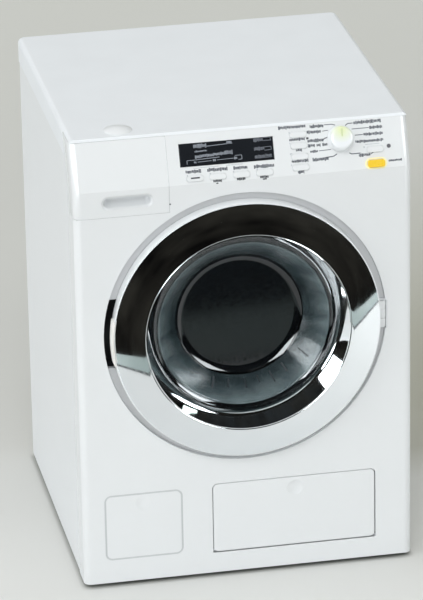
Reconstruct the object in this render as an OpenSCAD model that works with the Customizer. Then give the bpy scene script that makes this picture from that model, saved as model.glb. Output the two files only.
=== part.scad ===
// Toy front-loading washing machine. Millimetres, +Z up, the door faces -Y.
// The origin is on the floor below the middle of the machine.

/* [Casing] */
// Width of the casing
body_w = 185; // [180:1:200]
// Depth from the flat front to the back
body_d = 185; // [180:1:200]
// Height of the top surface above the floor
body_h = 260; // [258:1:266]
// Depth of the door in front of the flat front
door_proud = 9; // [8:0.5:10]
// Height of the feet below the casing edge
foot_h = 2.5; // [2:0.5:4]
// Wall thickness of the front panel and the top cover
wall = 2.4; // [2:0.1:2.6]
// Radius of the upright front corners
corner_r = 4; // [3:0.5:5]

/* [Control zone] */
// Height of the crease where the front starts to lean back
crease_z = 233.5; // [232:0.5:234]
// Angle that the control zone leans back
lean = 22.9; // [18:0.1:24]
// Length of a small key
key_w = 9; // [8:0.5:10]
// Height of a small key
key_h = 3.1; // [2.6:0.1:3.4]
// Travel of a key
key_travel = 0.8; // [0.5:0.1:0.9]
// Diameter of the programme knob
knob_d = 14; // [12:0.5:15]

/* [Door] */
// Height of the door's centre
door_z = 148.1; // [146:0.1:149]
// Radius of the round recess in the front
recess_r = 78.2; // [78:0.1:79]
// Radius of the door's white side wall
rim_r = 74; // [73:0.1:74.4]
// Radius of the edge between the chromed ring and the funnel
ridge_r = 57; // [56:0.5:58]
// Radius of the bowl's mouth
bowl_r = 46.8; // [45:0.1:48]
// Radius of the bowl's flat back
pane_r = 33.7; // [30:0.1:36]
// Depth of the bowl's back behind the front
pane_depth = 20; // [16:0.5:21]

/* [Drum and tub] */
// Outer radius of the tub
tub_r = 76; // [74:0.5:77]
// Outer radius of the drum
drum_r = 71.4; // [68:0.1:71.6]

/* [Gears] */
// Gear module
gear_m = 1; // [1:1:1]
// Teeth of the drum gear
drum_teeth = 56; // [52:4:60]
// Teeth of the idler's small wheel
idler_small = 14; // [13:1:15]
// Teeth of the idler's large wheel
idler_large = 42; // [40:1:44]
// Teeth of the motor pinion
pinion_teeth = 12; // [12:1:13]

/* [Lower flap] */
// Width of the flap
flap_w = 91.5; // [80:0.5:92]
// Height of the flap
flap_h = 41.3; // [36:0.1:42]

/* [Hidden] */
$fn = 96;
eps = 0.01;

hw = body_w / 2;
yf = -body_d / 2 + door_proud / 2;      // flat front of the casing
yb = yf + body_d;                        // back of the casing
zb = foot_h;                             // lower edge of the casing
skin_z = body_h - 1.6;                   // upper edge of the front skin
return_d = 18;                           // depth of the front panel's side returns
side_in = 0.4;                           // the side walls stand this far inside the top cover
shell_t = 2.2;
seam_z = body_h - 13.6;                  // lower edge of the top cover's skirt
drawer_x = -40.4;                        // right side of the drawer front's opening
drawer_z0 = 218.4;                       // lower side of the drawer front's opening
drawer_return = 14;                      // depth of the drawer front's side return
hinge = [76.4, yf + 1.6];                // upright door hinge axis, x and y
knuckle_r = 1.8;
pin_r = 0.8;
row_x = [-26.2, -13.8, -0.9, 11.8];      // keys under the display
row_s = 2.95;                            // their height up the lean
col_x = 31.7;                            // keys beside the display
col_s = [21.6, 15.7, 9.8, 3.9];
white_at = [73.2, 10.3];
start_at = [73.1, 2.6];
start_w = 9.4;
start_h = 4.1;
knob_at = [54.5, 17.7];
led_at = [80.8, 11.5];
flap_x0 = -19.9;
flap_z0 = 14.7;
flap_axis = [yf + 1.5, flap_z0 + 1.5];   // y and z of the flap's hinge
bay_x = 34;                              // battery bay, half width
bay_z = [24, 78];
cap_at = [-64, -66.7];                   // filler cap
drain_at = [50, 56];                     // drain outlet, x and z
idler_at = [0, door_z - gear_m * (drum_teeth + idler_small) / 2 - 0.1];
pinion_gap = gear_m * (idler_large + pinion_teeth) / 2 + 0.1;
pinion_at = [pinion_gap * cos(45), idler_at[1] - pinion_gap * sin(45)];

white_c = [0.90, 0.91, 0.92];
inner_c = [0.80, 0.81, 0.82];
chrome_c = [0.75, 0.76, 0.78];
grey_c = [0.70, 0.71, 0.71];
dark_c = [0.13, 0.14, 0.15];
steel_c = [0.62, 0.63, 0.65];

// ---------- helpers ----------

// Cylinder along +Y from y0 to y1 around (x, z)
module yc(r, y0, y1, x = 0, z = door_z)
  translate([x, y0, z]) rotate([-90, 0, 0]) cylinder(r = r, h = y1 - y0);

// Revolved profile around the door's axis: points are [radius, depth behind the front]
module turned(pts) translate([0, yf, door_z]) rotate([-90, 0, 0]) rotate_extrude($fn = 180) polygon(pts);

// Prism along X from a profile in [y, z]
module yz(x0, x1) translate([x0, 0, 0]) rotate([90, 0, 90]) linear_extrude(x1 - x0) children();

// Box between two corners
module bx(a, b) translate(a) cube(b - a);

// Line parallel to the front profile, off mm behind it
function prof(off) = let(z = crease_z - off * tan(lean / 2))
  [[yf + off, -20], [yf + off, z], [yf + off + 60 * sin(lean), z + 60 * cos(lean)]];
module behind(off, x = 100) yz(-x, x) polygon(concat(prof(off), [[260, 320], [260, -20]]));
module ahead(off, x0 = -100, x1 = 100) yz(x0, x1) polygon(concat(prof(off), [[-200, 320], [-200, -20]]));

// The leaning zone's own axes: x across, y into the casing, z up the lean
module on_lean() translate([0, yf, crease_z]) rotate([-lean, 0, 0]) children();

// Plan of a body with rounded front corners
module plan(h, y0, y1, r) {
  translate([-h, y0 + r]) square([2 * h, y1 - y0 - r]);
  translate([-h + r, y0]) square([2 * h - 2 * r, r + eps]);
  for (s = [-1, 1]) translate([s * (h - r), y0 + r]) circle(r = r, $fn = 64);
}
// Everything behind the front profile, with rounded upright corners
module front_solid() intersection() {
  translate([0, 0, -30]) linear_extrude(330) plan(hw, yf, 60, corner_r);
  on_lean() translate([0, 0, -280]) linear_extrude(340) plan(hw, 0, 170, corner_r);
}

// Front skin with side returns, d mm deep, between two heights
module front_skin(d, z0, z1) difference() {
  intersection() {
    front_solid();
    ahead(d);
    translate([-150, -150, z0]) cube([300, 300, z1 - z0]);
  }
  behind(wall, hw - wall);
}

// Rounded rectangle from its corners, in the plane of the drawing
module round_rect(x0, z0, x1, z1, r) {
  translate([x0 + r, z0]) square([x1 - x0 - 2 * r, z1 - z0]);
  translate([x0, z0 + r]) square([x1 - x0, z1 - z0 - 2 * r]);
  for (x = [x0 + r, x1 - r], z = [z0 + r, z1 - r]) translate([x, z]) circle(r = r, $fn = 48);
}
// Prism into the casing from a drawing in [x, z], from y0 to y1
module xz(y0, y1) translate([0, y1, 0]) rotate([90, 0, 0]) linear_extrude(y1 - y0) children();

// Key with a retaining flange, in the leaning zone's axes
module key_body(x, s, w, h, proud, lip = 0.8) on_lean() {
  xz(-proud, 6.6) translate([x, s]) round_rect(-w / 2, -h / 2, w / 2, h / 2, min(1.45, h / 2 - 0.1));
  translate([x - w / 2 - 0.9, 2.7, s - h / 2 - lip]) cube([w + 1.8, 1, h + 0.8 + lip]);
}
module key_hole(x, s, w, h) xz(-2, wall + 1) translate([x, s])
  round_rect(-w / 2 - 0.25, -h / 2 - 0.25, w / 2 + 0.25, h / 2 + 0.25, min(1.7, h / 2));

// Involute spur gear, axis along +Z, centred, one tooth on +X
function inv(a) = tan(a) * 180 / PI - a;
function half_tooth(r, n, slack) = let(rb = gear_m * n / 2 * cos(20))
  90 / n - slack + inv(20) - (r > rb ? inv(acos(rb / r)) : 0);
function tooth_pts(n, slack, add, ded) = let(rp = gear_m * n / 2, rb = rp * cos(20), r0 = rp - ded, r1 = rp + add,
    rs = max(rb, r0), rr = [for (k = [0:4]) rs + (r1 - rs) * k / 4])
  concat([[r0, -half_tooth(rs, n, slack)]], [for (r = rr) [r, -half_tooth(r, n, slack)]],
    [for (k = [4:-1:0]) [rr[k], half_tooth(rr[k], n, slack)]], [[r0, half_tooth(rs, n, slack)]]);
module gear2d(n, slack_mm = 0.09, add = 0.8, ded = 1.15)
  polygon([for (i = [0:n - 1]) for (p = tooth_pts(n, slack_mm / (gear_m * n / 2) * 180 / PI, add, ded))
    p[0] * [cos(p[1] + 360 / n * i), sin(p[1] + 360 / n * i)]]);
// Gear between y0 and y1 around (x, z), turned by a degrees
module y_gear(n, y0, y1, x, z, a, bore) translate([x, y0, z]) rotate([-90, 0, 0]) difference() {
  rotate([0, 0, -a]) linear_extrude(y1 - y0) gear2d(n);
  translate([0, 0, -1]) cylinder(r = bore, h = y1 - y0 + 2);
}

// ---------- casing ----------

post_at = [for (x = [-1, 1], y = [-58, 84]) [x * 85.6, y]];

module base_tray() color(inner_c) difference() {
  union() {
    bx([-89.2, -85.2, 3.2], [89.2, 93.6, 5.6]);
    difference() {
      bx([-89.2, -85.2, 3.2], [89.2, 93.6, 12]);
      bx([-87.4, -83.4, 3], [87.4, 91.8, 13]);
      bx([-21.8, -90, 5.6], [73.5, -50, 13]);
      for (p = post_at) translate([p[0], p[1], 5.6]) cylinder(r = 4.6, h = 10);
    }
    for (x = [-60, -20, 20, 60]) bx([x - 0.8, -44, 5.5], [x + 0.8, 60, 9]);
  }
  for (p = post_at) translate([p[0], p[1], 0]) cylinder(r = 1.6, h = 10);
  for (p = post_at) translate([p[0], p[1], 3]) cylinder(r = 3.1, h = 1.2);
  for (x = [-74, 74], y = [-72, 78]) translate([x, y, 0]) cylinder(r = 2.5, h = 10);
}

module rubber_feet() color(dark_c) for (x = [-74, 74], y = [-72, 78]) translate([x, y, 0]) {
  cylinder(r = 8, h = 3.2);
  translate([0, 0, 3.1]) cylinder(r = 2.5, h = 4.4);
}

// Cross-head self-tapping screw, head down, along +Z
module screw(head = 2.8, h = 0.7, r = 1.3, len = 10) difference() {
  union() {
    cylinder(r = head, h = h, $fn = 48);
    cylinder(r = r, h = len, $fn = 48);
  }
  for (a = [0, 90]) rotate([0, 0, a]) translate([-head * 0.6, -0.3, -1]) cube([head * 1.2, 0.6, 1.4]);
}

module case_screws() color(steel_c) {
  for (p = post_at) translate([p[0], p[1], 3.4]) screw();
  for (s = [-1, 1], z = [26, 130, 234]) translate([s * 65, 96.5, z]) rotate([90, 0, 0]) screw();
}

module cabinet_shell() color(white_c) difference() {
  union() {
    intersection() {
      behind(return_d + 0.15);
      translate([0, 0, zb]) linear_extrude(seam_z - 0.25 - zb) mirror([0, 1]) difference() {
        plan(hw - side_in, -yb + side_in, 95, 4);
        plan(hw - side_in - shell_t, -yb + side_in + shell_t, 96, 2);
      }
    }
    for (p = post_at) {
      translate([p[0], p[1], 5.6]) cylinder(r = 4.2, h = 34);
      bx([p[0] > 0 ? 86 : -90.2, p[1] - 1, 5.6], [p[0] > 0 ? 90.2 : -86, p[1] + 1, 50]);
    }
    for (s = [-1, 1], z = [26, 130, 234]) yc(3.6, 86, 95, s * 65, z);
  }
  for (p = post_at) translate([p[0], p[1], 5]) cylinder(r = 1.3, h = 14);
  // rebate and opening for the rear cover
  bx([-70, 95.4, 20], [70, 99, 240]);
  bx([-60, 84, 22.4], [60, 99, 229]);
  for (s = [-1, 1], z = [26, 130, 234]) yc(1.3, 84, 99, s * 65, z);
}

module front_panel() color(white_c) difference() {
  union() {
    front_skin(return_d, zb, skin_z);
    yc(81, yf + 1, yf + 5.3);
    // strip of wall that carries the flap's pin ends
    bx([-24, yf + 1, 12.2], [-20.1, yf + 3, 19.8]);
    bx([71.8, yf + 1, 12.2], [75.6, yf + 3, 19.8]);
  }
  // round recess and porthole
  yc(recess_r, yf - 1, yf + 3.3);
  yc(60, yf - 1, yf + 8);
  // finger slot
  difference() {
    intersection() {
      yc(recess_r, yf - 1, yf + 8);
      bx([-90, yf - 1, 130.2], [-50, yf + 8, 170.3]);
    }
    yc(66, yf - 2, yf + 9);
  }
  // hinge notch and catch hole
  bx([74, yf - 1, 139.8], [78.8, yf + 8, 156.8]);
  yc(2.3, yf - 1, yf + 8, -60.7, 119.8);
  // drawer opening
  intersection() {
    ahead(drawer_return, -100, drawer_x);
    bx([-100, -150, drawer_z0], [0, 50, 300]);
  }
  // flap opening and its pin
  xz(yf - 1, yf + wall + 1) {
    round_rect(-20.2, 14.4, 71.9, 56.3, 3.1);
    round_rect(-20.2, 14.4, 71.9, 40, 1.5);
  }
  translate([-20.2, flap_axis[0], flap_axis[1]]) rotate([0, 90, 0]) cylinder(r = 2.25, h = 92.1, $fn = 64);
  translate([-23.6, flap_axis[0], flap_axis[1]]) rotate([0, 90, 0]) cylinder(r = pin_r - 0.1, h = 98.9, $fn = 48);
  // moulded panel line at the lower left, and its dimple
  xz(yf - 1, yf + 0.5) difference() {
    round_rect(-80.5, 16.1, -36.8, 55.3, 4);
    round_rect(-79.5, 17.1, -37.8, 54.3, 3);
  }
  translate([-58.6, yf - 16.6, 49.5]) sphere(r = 17.2, $fn = 120);
  on_lean() {
    // display window
    xz(-1, 1.3) translate([-33.7, 9.4]) square([51.7, 12.6]);
    xz(-1, 8) translate([-31.6, 11.4]) square([47.5, 8.6]);
    for (x = row_x) key_hole(x, row_s, key_w, key_h);
    for (s = col_s) key_hole(col_x, s, key_w, key_h);
    key_hole(white_at[0], white_at[1], key_w, key_h);
    key_hole(start_at[0], start_at[1], start_w, start_h);
    translate([knob_at[0], -1, knob_at[1]]) rotate([-90, 0, 0]) cylinder(r = 3.05, h = 8, $fn = 64);
    translate([led_at[0], -1, led_at[1]]) rotate([-90, 0, 0]) cylinder(r = 1.1, h = 8, $fn = 48);
  }
}

module top_block(h, y0, y1, z0, z1, r, e) hull() for (x = [-h + r, h - r], y = [y0 + r, y1 - r]) {
  translate([x, y, z0]) cylinder(r = r, h = 1, $fn = 32);
  translate([x, y, z1 - e]) rotate_extrude($fn = 32) {
    translate([r - e, 0]) intersection() { circle(r = e, $fn = 32); square(e + 1); }
    square([r - e, e]);
  }
}

module top_cover() color(white_c) difference() {
  union() {
    difference() {
      intersection() {
        top_block(hw, yf - 30, yb, seam_z, body_h, 4, 2.6);
        // stops at the front face of the leaning zone
        behind(0);
      }
      bx([-hw + wall, yf - 60, seam_z - 5], [hw - wall, yb - wall, body_h - wall]);
      // room for the front skin and its returns
      intersection() {
        ahead(return_d + 0.15);
        bx([-150, -150, 200], [150, 150, skin_z + 0.15]);
      }
    }
    // ribs that locate the side walls
    for (s = [-1, 1]) bx([s > 0 ? 87.6 : -89.7, 0, 238], [s > 0 ? 89.7 : -87.6, 80, body_h - wall + 0.1]);
    bx([-60, 92.2, 240.5], [60, 94.2, body_h - wall + 0.1]);
    // filler neck down to the drawer housing
    translate([cap_at[0], cap_at[1], 244.9]) cylinder(r = 6.9, h = body_h - 1 - 244.9);
  }
  translate([cap_at[0], cap_at[1], 240]) cylinder(r = 5.3, h = 30);
}

module rear_cover() color(white_c) difference() {
  union() {
    bx([-69.8, 95.4, 20.2], [69.8, 96.6, 239.8]);
    bx([-59.8, 93.4, 22.6], [59.8, 95.5, 228.8]);
    yc(9.6, 89, 95.5, drain_at[0], drain_at[1]);
  }
  for (s = [-1, 1], z = [26, 130, 234]) { yc(1.5, 90, 99, s * 65, z); yc(3, 95.8, 99, s * 65, z); }
  bx([-bay_x, 90, bay_z[0]], [bay_x, 99, bay_z[1]]);
  bx([-bay_x - 2, 95.4, bay_z[0] - 2], [bay_x + 2, 99, bay_z[1] + 2]);
  // air slots
  for (i = [-7:7]) bx([i * 6 - 1.2, 90, 186], [i * 6 + 1.2, 99, 214]);
  for (i = [-4:4]) bx([i * 6 - 1.2, 90, 104], [i * 6 + 1.2, 99, 128]);
  // drain well
  yc(8, 91, 99, drain_at[0], drain_at[1]);
  yc(3, 80, 99, drain_at[0], drain_at[1]);
}

// ---------- door ----------

module trim_ring() color(grey_c) difference() {
  yc(recess_r - 0.1, yf + 2.3, yf + 3.3);
  yc(70, yf, yf + 5);
  bx([-90, yf, 130.2], [-50, yf + 8, 170.3]);
  bx([74, yf - 1, 139.8], [79, yf + 8, 156.8]);
}

module grip_cup() color(dark_c) difference() {
  intersection() {
    difference() { yc(79.8, yf + 5.3, yf + 17); yc(64.4, yf, yf + 20); }
    bx([-90, yf + 5.3, 128.6], [-50, yf + 17, 171.9]);
  }
  difference() {
    intersection() {
      yc(recess_r, yf + 2, yf + 15.4);
      bx([-90, yf + 2, 130.2], [-50, yf + 15.4, 170.3]);
    }
    yc(66, yf - 2, yf + 30);
  }
}

module hinge_block() color(white_c) {
  difference() {
    union() {
      translate([hinge[0], hinge[1], 145.7]) cylinder(r = knuckle_r, h = 5.2, $fn = 64);
      bx([hinge[0] - 0.9, hinge[1], 145.7], [hinge[0] + knuckle_r, yf + 5.4, 150.9]);
      bx([71.5, yf + 5.4, 139.4], [86, yf + 7.4, 157.2]);
    }
    translate([hinge[0], hinge[1], 140]) cylinder(r = pin_r, h = 20, $fn = 48);
  }
}

module hinge_pin() color(steel_c) translate([hinge[0], hinge[1], 140.7]) cylinder(r = pin_r, h = 15.2, $fn = 48);

module door_frame() color(white_c) {
  difference() {
    union() {
      turned([[55, 7.2], [55, -0.4], [72, -0.4], [72, -5.3], [rim_r, -5.3], [rim_r, 1.8], [58.6, 1.8], [58.6, 7.2]]);
      // hinge knuckles
      for (z = [[140.6, 145.5], [151.1, 156]]) {
        translate([hinge[0], hinge[1], z[0]]) cylinder(r = knuckle_r, h = z[1] - z[0], $fn = 64);
        bx([71, yf - 0.2, z[0]], [hinge[0], yf + 1.6, z[1]]);
      }
      // catch peg
      yc(1.8, yf + 1.7, yf + 6, -60.7, 119.8);
    }
    translate([hinge[0], hinge[1], 138]) cylinder(r = pin_r + 0.05, h = 20, $fn = 48);
    for (a = [30:60:330]) translate([56.8 * cos(a), yf, door_z + 56.8 * sin(a)]) rotate([-90, 0, 0]) cylinder(r = 0.8, h = 9, $fn = 32);
  }
}

module door_outer_ring() color(chrome_c)
  turned([[rim_r - 0.6, -5.3], [rim_r - 0.6, -5.6], [ridge_r + 0.3, -8.95], [ridge_r, -9], [ridge_r - 1, -9],
    [ridge_r - 1, -7.3], [ridge_r, -7.3], [71.8, -4.2], [71.8, -5.3]]);

module door_inner_bezel() color(chrome_c)
  turned([[ridge_r - 1, -9], [ridge_r - 1, -6.2], [49.7, 0.6], [48.6, 2.4], [48.6, 5], [bowl_r, 5],
    [bowl_r + 0.1, 1.7], [bowl_r + 0.8, 0.1], [ridge_r - 2.4, -8.6], [ridge_r - 1.8, -9]]);

module door_bowl() color([0.35, 0.37, 0.40, 0.5])
  turned([[54.9, 5], [bowl_r, 5], [pane_r + 2.2, pane_depth - 2.6], [pane_r - 0.2, pane_depth - 0.6],
    [pane_r - 2.8, pane_depth], [0, pane_depth], [0, pane_depth + 1.6], [pane_r - 2.2, pane_depth + 1.6],
    [pane_r + 0.9, pane_depth + 0.7], [pane_r + 3.4, pane_depth - 1.4], [bowl_r + 1.1, 7.2], [54.9, 7.2]]);

module door_clamp_ring() color(white_c) difference() {
  turned([[50, 7.2], [58.6, 7.2], [58.6, 9.2], [50, 9.2]]);
  for (a = [30:60:330]) translate([56.8 * cos(a), yf + 5, door_z + 56.8 * sin(a)]) rotate([-90, 0, 0]) cylinder(r = 0.9, h = 9, $fn = 32);
}

module door_screws() color(steel_c) for (a = [30:60:330])
  translate([56.8 * cos(a), yf, door_z + 56.8 * sin(a)]) rotate([-90, 0, 0]) {
    translate([0, 0, 1]) cylinder(r = 0.8, h = 8.3, $fn = 32);
    translate([0, 0, 9.2]) cylinder(r = 1.7, h = 1, $fn = 32);
  }

module door_seal() color([0.45, 0.46, 0.47])
  turned([[60.4, 5.4], [63.4, 5.4], [63.4, 7], [62, 8.5], [63.6, 11], [62, 13.5], [63.4, 17.9], [53, 17.9], [52.4, 16.4],
    [53, 15.6], [60.6, 15.6], [61, 13.2], [60.6, 11.2], [60.4, 8.5]]);

// ---------- drawer ----------

module drawer_front() color(white_c) difference() {
  union() {
    intersection() {
      front_skin(drawer_return - 0.2, drawer_z0 + 0.2, skin_z - 0.1);
      bx([-100, -150, drawer_z0 + 0.2], [drawer_x - 0.2, 50, 300]);
    }
    // right edge of the front, folded in
    intersection() {
      yz(drawer_x - 1.8, drawer_x - 0.2) polygon(concat(prof(0.5), [for (i = [2:-1:0]) prof(6)[i]]));
      bx([-100, -150, drawer_z0 + 0.2], [0, 50, skin_z - 0.1]);
    }
    bx([-79.6, yf + 1, 221], [-47.2, yf + 7, 232]);
  }
  // finger recess
  xz(yf - 1, yf + 5.4) round_rect(-77.3, 222.9, -49.4, 230.3, 3.65);
}

module detergent_drawer() color(white_c) difference() {
  bx([-85.8, yf + 7, 221], [-43.6, -8, 240]);
  bx([-84.2, yf + 8.6, 222.6], [-65.6, -9.6, 241]);
  bx([-64, yf + 8.6, 222.6], [-45.2, -9.6, 241]);
  for (x = [-75, -54.6]) translate([x, -14, 218]) cylinder(r = 2.4, h = 10, $fn = 48);
}

module drawer_housing() color(inner_c) difference() {
  union() {
    bx([-88.4, -72.9, 218.8], [-41.2, -4.2, 244.8]);
    bx([-89.8, -72.9, 216.4], [-41.2, -71.2, 253]);
  }
  bx([-86.6, -75, 220.6], [-43, -6, 243]);
  translate([cap_at[0], cap_at[1], 244.8]) cylinder(r = 7.2, h = 10, $fn = 64);
  // inlet from the filler neck, outlet to the tub
  translate([cap_at[0], cap_at[1], 240]) cylinder(r = 5.3, h = 10, $fn = 64);
  translate([-50, -40, 215]) cylinder(r = 3.6, h = 10, $fn = 64);
}

module inlet_pipe() color([0.3, 0.31, 0.33]) translate([-50, -40, 209.4]) difference() {
  cylinder(r = 5, h = 9.4, $fn = 64);
  translate([0, 0, -1]) cylinder(r = 3.6, h = 12, $fn = 64);
}

// ---------- controls ----------

module display_lens() color([0.09, 0.10, 0.11]) on_lean() xz(0.05, 1.25) translate([-33.6, 9.5]) square([51.5, 12.4]);
module display_module() color([0.25, 0.27, 0.3]) on_lean() bx([-31.4, 1.3, 11.5], [15.7, 10.5, 19.9]);

module row_key_1() color(white_c) key_body(row_x[0], row_s, key_w, key_h, 0.8);
module row_key_2() color(white_c) key_body(row_x[1], row_s, key_w, key_h, 0.8);
module row_key_3() color(white_c) key_body(row_x[2], row_s, key_w, key_h, 0.8);
module row_key_4() color(white_c) key_body(row_x[3], row_s, key_w, key_h, 0.8);
module column_key_1() color(white_c) key_body(col_x, col_s[0], key_w, key_h, 0.8);
module column_key_2() color(white_c) key_body(col_x, col_s[1], key_w, key_h, 0.8);
module column_key_3() color(white_c) key_body(col_x, col_s[2], key_w, key_h, 0.8);
module column_key_4() color(white_c) key_body(col_x, col_s[3], key_w, key_h, 0.8);
module white_key() color(white_c) key_body(white_at[0], white_at[1], key_w, key_h, 0.8);
module start_key() color([0.90, 0.74, 0.12]) key_body(start_at[0], start_at[1], start_w, start_h, 1.5, 0.2);

module program_knob() color(white_c) on_lean() translate([knob_at[0], 0, knob_at[1]]) rotate([-90, 0, 0]) difference() {
  union() {
    rotate_extrude() polygon([[0, -7], [knob_d / 2 - 1.2, -7], [knob_d / 2 - 0.6, -6.5], [knob_d / 2, -1.6], [knob_d / 2, -0.3], [0, -0.3]]);
    cylinder(r = 3, h = 9.4, $fn = 64);
    translate([0, 0, -0.4]) cylinder(r = 3, h = 0.5, $fn = 64);
  }
  // flat of the spindle
  translate([-4, -4, 6.4]) cube([8, 1.9, 4]);
}

module rotary_encoder() color([0.2, 0.3, 0.25]) on_lean() difference() {
  bx([knob_at[0] - 6.5, 3.2, knob_at[1] - 6.5], [knob_at[0] + 6.5, 10.5, knob_at[1] + 6.5]);
  translate([knob_at[0], 2, knob_at[1]]) rotate([-90, 0, 0]) cylinder(r = 3.05, h = 8, $fn = 64);
}

module keypad_mat() color([0.55, 0.56, 0.57]) on_lean() {
  bx([-33, 8.4, 0.4], [19, 10.5, 6.4]);
  bx([25.6, 8.4, 0.4], [38, 10.5, 25]);
  bx([66, 8.4, 0], [79, 10.5, 14]);
}

module control_board() color([0.12, 0.36, 0.2]) on_lean() {
  bx([-38, 10.5, 0.2], [86, 12.1, 25.4]);
  bx([-20, 12.1, 4], [-8, 14.5, 14]);
  bx([40, 12.1, 3], [52, 13.6, 9]);
  bx([10, 12.1, 6], [22, 18, 11]);
}

module indicator_lens() color([0.35, 0.12, 0.10]) on_lean() translate([led_at[0], 0, led_at[1]]) rotate([-90, 0, 0]) {
  translate([0, 0, -0.2]) cylinder(r = 1.1, h = 4, $fn = 48);
  translate([0, 0, 2.5]) cylinder(r = 1.6, h = 8, $fn = 48);
}

// ---------- tub, drum and drive ----------

module tub_front() color([0.62, 0.64, 0.66]) difference() {
  union() {
    yc(tub_r, -70, -15);
    yc(tub_r + 3, -18, -15);
    translate([-50, -40, 190]) cylinder(r = 5, h = 19.4, $fn = 64);
  }
  yc(tub_r - 2, -68, -14);
  yc(55, -75, -60);
  translate([-50, -40, 180]) cylinder(r = 3.6, h = 40, $fn = 64);
}

module tub_rear() color([0.62, 0.64, 0.66]) difference() {
  union() {
    yc(tub_r, -14.9, 40);
    yc(tub_r + 3, -14.9, -12);
    yc(11, 34, 42);
    yc(5, 39, 42, idler_at[0], idler_at[1]);
    for (p = [[-34, 160], [36, 160], [-34, 84], [40, 84]]) yc(3.4, 39, 58, p[0], p[1]);
    // sump pipe
    translate([drain_at[0], 20, 78]) cylinder(r = 5, h = 24, $fn = 64);
  }
  yc(tub_r - 2, -16, 37.6);
  yc(7, 30, 50);
  yc(2, 39.6, 60, idler_at[0], idler_at[1]);
  translate([drain_at[0], 20, 70]) cylinder(r = 3, h = 50, $fn = 64);
  for (p = [[-34, 160], [36, 160], [-34, 84], [40, 84]]) yc(1.2, 46, 60, p[0], p[1]);
}

module drum() color(steel_c) {
  turned([[57, 22], [drum_r, 22], [drum_r, 118], [4, 118], [4, 108], [11, 108], [11, 116.4], [drum_r - 1.4, 116.4],
    [drum_r - 1.4, 23.5], [57, 23.5]]);
}

module drum_paddles() color([0.5, 0.52, 0.54]) for (a = [90, 210, 330]) intersection() {
  yc(drum_r - 1.4, -64, 27);
  translate([0, 0, door_z]) rotate([0, a, 0]) yz(0, 80) polygon([[-62, -8], [-62, 8], [26, 8], [26, -8]]);
  translate([0, -62, door_z]) rotate([0, a, 0]) rotate([-90, 0, 0]) linear_extrude(88)
    polygon([[drum_r - 13, -3], [drum_r + 2, -9], [drum_r + 2, 9], [drum_r - 13, 3]]);
}

module drum_shaft() color(steel_c) yc(4, 20, 62);

module shaft_bush() color([0.72, 0.58, 0.3]) difference() {
  yc(7, 35, 43);
  yc(4.05, 30, 50);
}

module drum_gear() color([0.9, 0.88, 0.8]) y_gear(drum_teeth, 44, 50, 0, door_z, 90, 4);

module idler_gear() color([0.9, 0.88, 0.8]) {
  y_gear(idler_small, 44, 50.5, idler_at[0], idler_at[1], 90 + 180 / idler_small, 2.05);
  y_gear(idler_large, 50.5, 56, idler_at[0], idler_at[1], -45, 2.05);
}

module idler_axle() color(steel_c) yc(2, 39.6, 60.5, idler_at[0], idler_at[1]);

module motor_pinion() color([0.72, 0.58, 0.3]) {
  y_gear(pinion_teeth, 51, 56.5, pinion_at[0], pinion_at[1], 135 + 180 / pinion_teeth, 1);
  yc(1, 50, 80, pinion_at[0], pinion_at[1]);
}

module drive_motor() color([0.66, 0.67, 0.69]) difference() {
  union() {
    yc(12, 61, 84, pinion_at[0], pinion_at[1]);
    yc(3.5, 58.5, 88, pinion_at[0], pinion_at[1]);
    yc(9, 84, 86, pinion_at[0], pinion_at[1]);
  }
  yc(1.05, 58, 81, pinion_at[0], pinion_at[1]);
}

module gearbox_plate() color(inner_c) difference() {
  bx([-40, 58.4, 78], [46, 60.9, 166]);
  yc(4.05, 50, 70);
  yc(2, 50, 70, idler_at[0], idler_at[1]);
  yc(3.6, 50, 70, pinion_at[0], pinion_at[1]);
  for (p = [[-34, 160], [36, 160], [-34, 84], [40, 84]]) yc(1.3, 50, 70, p[0], p[1]);
}

// ---------- lower flap ----------

module service_flap() color(white_c) difference() {
  union() {
    xz(yf, yf + 2.2) {
      translate([0, 10]) round_rect(flap_x0, flap_z0, flap_x0 + flap_w, flap_z0 + flap_h - 10, 2.8);
      round_rect(flap_x0, flap_z0, flap_x0 + flap_w, flap_z0 + 30, 1.3);
    }
    translate([flap_x0 + 0.1, flap_axis[0], flap_axis[1]]) rotate([0, 90, 0]) cylinder(r = 1.5, h = flap_w - 0.2, $fn = 64);
  }
  translate([-40, flap_axis[0], flap_axis[1]]) rotate([0, 90, 0]) cylinder(r = pin_r - 0.05, h = 140, $fn = 48);
  translate([26.4, yf - 16.6, 49.5]) sphere(r = 17.2, $fn = 120);
}

module flap_pin() color(steel_c) translate([-23.6, flap_axis[0], flap_axis[1]]) rotate([0, 90, 0])
  cylinder(r = pin_r - 0.1, h = 98.9, $fn = 48);

module flap_box() color(inner_c) difference() {
  bx([-21.2, yf + wall + 0.6, 12.6], [72.9, yf + 34, 58]);
  bx([-19.4, yf - 2, 14.4], [71.1, yf + 32.2, 56.2]);
}

// ---------- water, power, sound ----------

module filler_cap() color(white_c) translate([cap_at[0], cap_at[1], 0]) {
  intersection() {
    translate([0, 0, body_h + 2 - 17]) sphere(r = 17, $fn = 120);
    translate([0, 0, body_h + 0.02]) cylinder(r = 8, h = 5);
  }
  difference() {
    translate([0, 0, body_h - 6]) cylinder(r = 4.9, h = 6.4, $fn = 64);
    translate([0, 0, body_h - 7]) cylinder(r = 3.6, h = 6, $fn = 64);
  }
}

module drain_pipe() color([0.3, 0.31, 0.33]) translate([drain_at[0], 0, 0]) difference() {
  union() {
    translate([0, 20, drain_at[1] - 5.6]) cylinder(r = 5.6, h = 27.6, $fn = 64);
    yc(5, 20, 89, 0, drain_at[1]);
  }
  translate([0, 20, drain_at[1] - 3]) cylinder(r = 3.2, h = 40, $fn = 64);
  yc(2.9, 20, 90, 0, drain_at[1]);
}

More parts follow.
